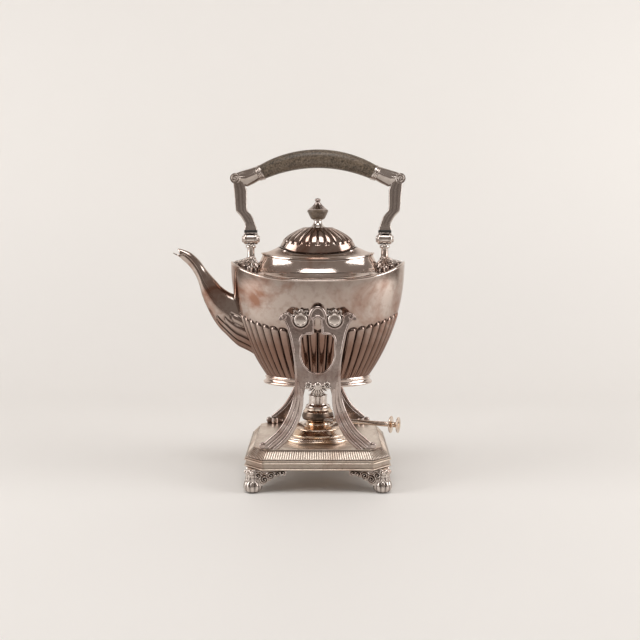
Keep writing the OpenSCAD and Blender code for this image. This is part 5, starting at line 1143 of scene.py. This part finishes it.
face_in = REED_IN * (1 - reeds**0.7) * (np.abs(cy) > 0.9) * reed_on
thick = np.where(levels < 230.2, 3.9, 3.5)[:, None]
strut_rings = np.stack([(outer_x + inner_x) / 2 + (outer_x - inner_x) / 2 * cx, (thick - face_in) * cy,
                        levels[:, None] + 0 * t], axis=2)
# Painted shade in the grooves between the reeds.
strap = loft(strut_rings, painted_shade=face_in / REED_IN * 0.6)
SCROLL = (74.4, PIVOT_Z + 54.6)
roll = tilted(turned([(AXIS, -4.0), (4.2, -4.0), (4.7, -3.5), (4.8, 0), (4.7, 3.5), (4.2, 4.0),
                      (AXIS, 4.0)], around=56), [[1, 0, 0], [0, 0, 1], [0, 1, 0]], (SCROLL[0], 0, SCROLL[1]))
whorl = spiral(SCROLL, 4.5, 0.99, 250, 600, 60)
coils = []
for face in (-1, 1):
    coils.append(swept(on_face(whorl, -face * 4.0), 0.65, 0.7, np.linspace(1, 0.7, 60)))
    coils.append(tilted(turned([(AXIS, 0), (1.2, 0), (1.1, 0.5), (AXIS, 0.8)], around=24),
                        [[1, 0, 0], [0, 0, face], [0, 1, 0]], (SCROLL[0], face * 4.0, SCROLL[1])))
horn_x = np.linspace(51.5, 73.5, 40)
horn_top = np.interp(horn_x, [51.5, 54, 59, 65, 70, 73.5], [285.6, 284.6, 283.0, 281.3, 279.9, 278.6])
horn_low = np.interp(horn_x, [51.5, 54, 58.7, 65, 70, 73.5], [272.8, 272.2, 269.6, 266.6, 268.0, 271.0])
horn_mid, horn_half = (horn_top + horn_low) / 2, (horn_top - horn_low) / 2
horn_w = np.interp(horn_x, [51.5, 58, 66, 73.5], [6.3, 5.2, 4.2, 3.6])
lean = np.radians(np.interp(horn_x, [51.5, 73.5], [27, 14]))[:, None]
t = np.linspace(0, 2 * math.pi, 64, endpoint=False)[None]
rib_line = 0.55 * np.exp(-((np.abs(np.sin(t)) - 1) / 0.02) ** 2)
up_part = horn_half[:, None] * np.cos(t)
horn_rings = np.stack([horn_x[:, None] + up_part * np.sin(lean) * 0.6,
                       (horn_w[:, None] + rib_line) * np.sin(t), horn_mid[:, None] + up_part], axis=2)
# Painted shade on the lower half of the horn, under it.
horn = loft(horn_rings, painted_shade=0.55 * np.clip(-np.cos(t), 0, 1) + 0 * horn_x[:, None])
for side_x, name in ((1, "right"), (-1, "left")):
    mirror = (side_x, 1, 1)
    piece(f"strut_{name}_cast", [moved(shape, flip=mirror) for shape in (strap, roll, *coils)],
          handle_finish, "handle", "silver_plate", f"strut_{name}")

# Grip and its end rings: a dark pressed composition rod bent to an arc, thickest in the middle,
# held between two silver ferrules of fine rings.
GRIP_ARC = 112.0
grip_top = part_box("grip")[1].z / MM
GRIP_R, GRIP_END = 8.3, 6.5
arc_mid = grip_top - GRIP_R - GRIP_ARC
GRIP_HALF = 51.0
end_turn = math.asin(GRIP_HALF / GRIP_ARC)
g = np.linspace(-1, 1, 90)[:, None]
grip_t = np.linspace(0, 2 * math.pi, 72, endpoint=False)[None]
grip_r = GRIP_R + (GRIP_END - GRIP_R) * np.abs(g) ** 2.2
arm = GRIP_ARC + grip_r * np.cos(grip_t)
grip_rings = np.stack([arm * np.sin(g * end_turn), grip_r * np.sin(grip_t),
                       arc_mid + arm * np.cos(g * end_turn)], axis=2)
piece("grip_pressed", [loft(grip_rings)], grip_dark, "handle", "dark_grip", "grip")
rings = turned([(AXIS, -1.0), (6.6, -1.0), (7.1, -0.7), (7.3, 0), (7.1, 0.6), (6.6, 0.9), (6.5, 1.1),
                (6.9, 1.5), (6.9, 1.9), (6.5, 2.2), (6.3, 2.5), (6.7, 2.9), (6.7, 3.3), (6.3, 3.6),
                (6.0, 4.0), (AXIS, 4.2)], around=72)
end_cos, end_sin = math.cos(end_turn), math.sin(end_turn)
seat = [[end_sin, 0, end_cos], [0, 1, 0], [end_cos, 0, -end_sin]]
collar = tilted(rings, seat, (GRIP_ARC * end_sin, 0, arc_mid + GRIP_ARC * end_cos))
for side_x, name in ((1, "right"), (-1, "left")):
    piece(f"ferrule_{name}_turned", [moved(shape, flip=(side_x, 1, 1)) for shape in (collar, horn)],
          handle_finish, "handle", "silver_plate", f"ferrule_{name}")

# Kept as built: hinge leaves and pins, the lid's sleeve, the strainer, screws, bush, wheel and
# wick. Each gets the finish of what it is made of.
brass_finish = worn_plate_with_painted_shade("plain_brass", (0.75, 0.56, 0.28), (0.62, 0.42, 0.2), (0.12, 0.08, 0.03), 0.4,
                          patch=60, rough=0.25)
cotton = composition("cotton_braid", (0.55, 0.5, 0.42), (0.85, 0.8, 0.7), 0.9, 700, 0.2)
for name, finish in (("lid_hinge_fixed_leaf", stand_finish), ("lid_hinge_moving_leaf", stand_finish),
                     ("lid_hinge_pin", stand_finish), ("lid_bezel", body_finish),
                     ("spout_strainer", stand_finish),
                     ("winder_bush", stand_finish), ("foot_screws", brass_finish),
                     ("frame_screws", brass_finish), ("wick_wheel", brass_finish), ("wick", cotton)):
    nodes[name].data.materials.clear()
    nodes[name].data.materials.append(finish)
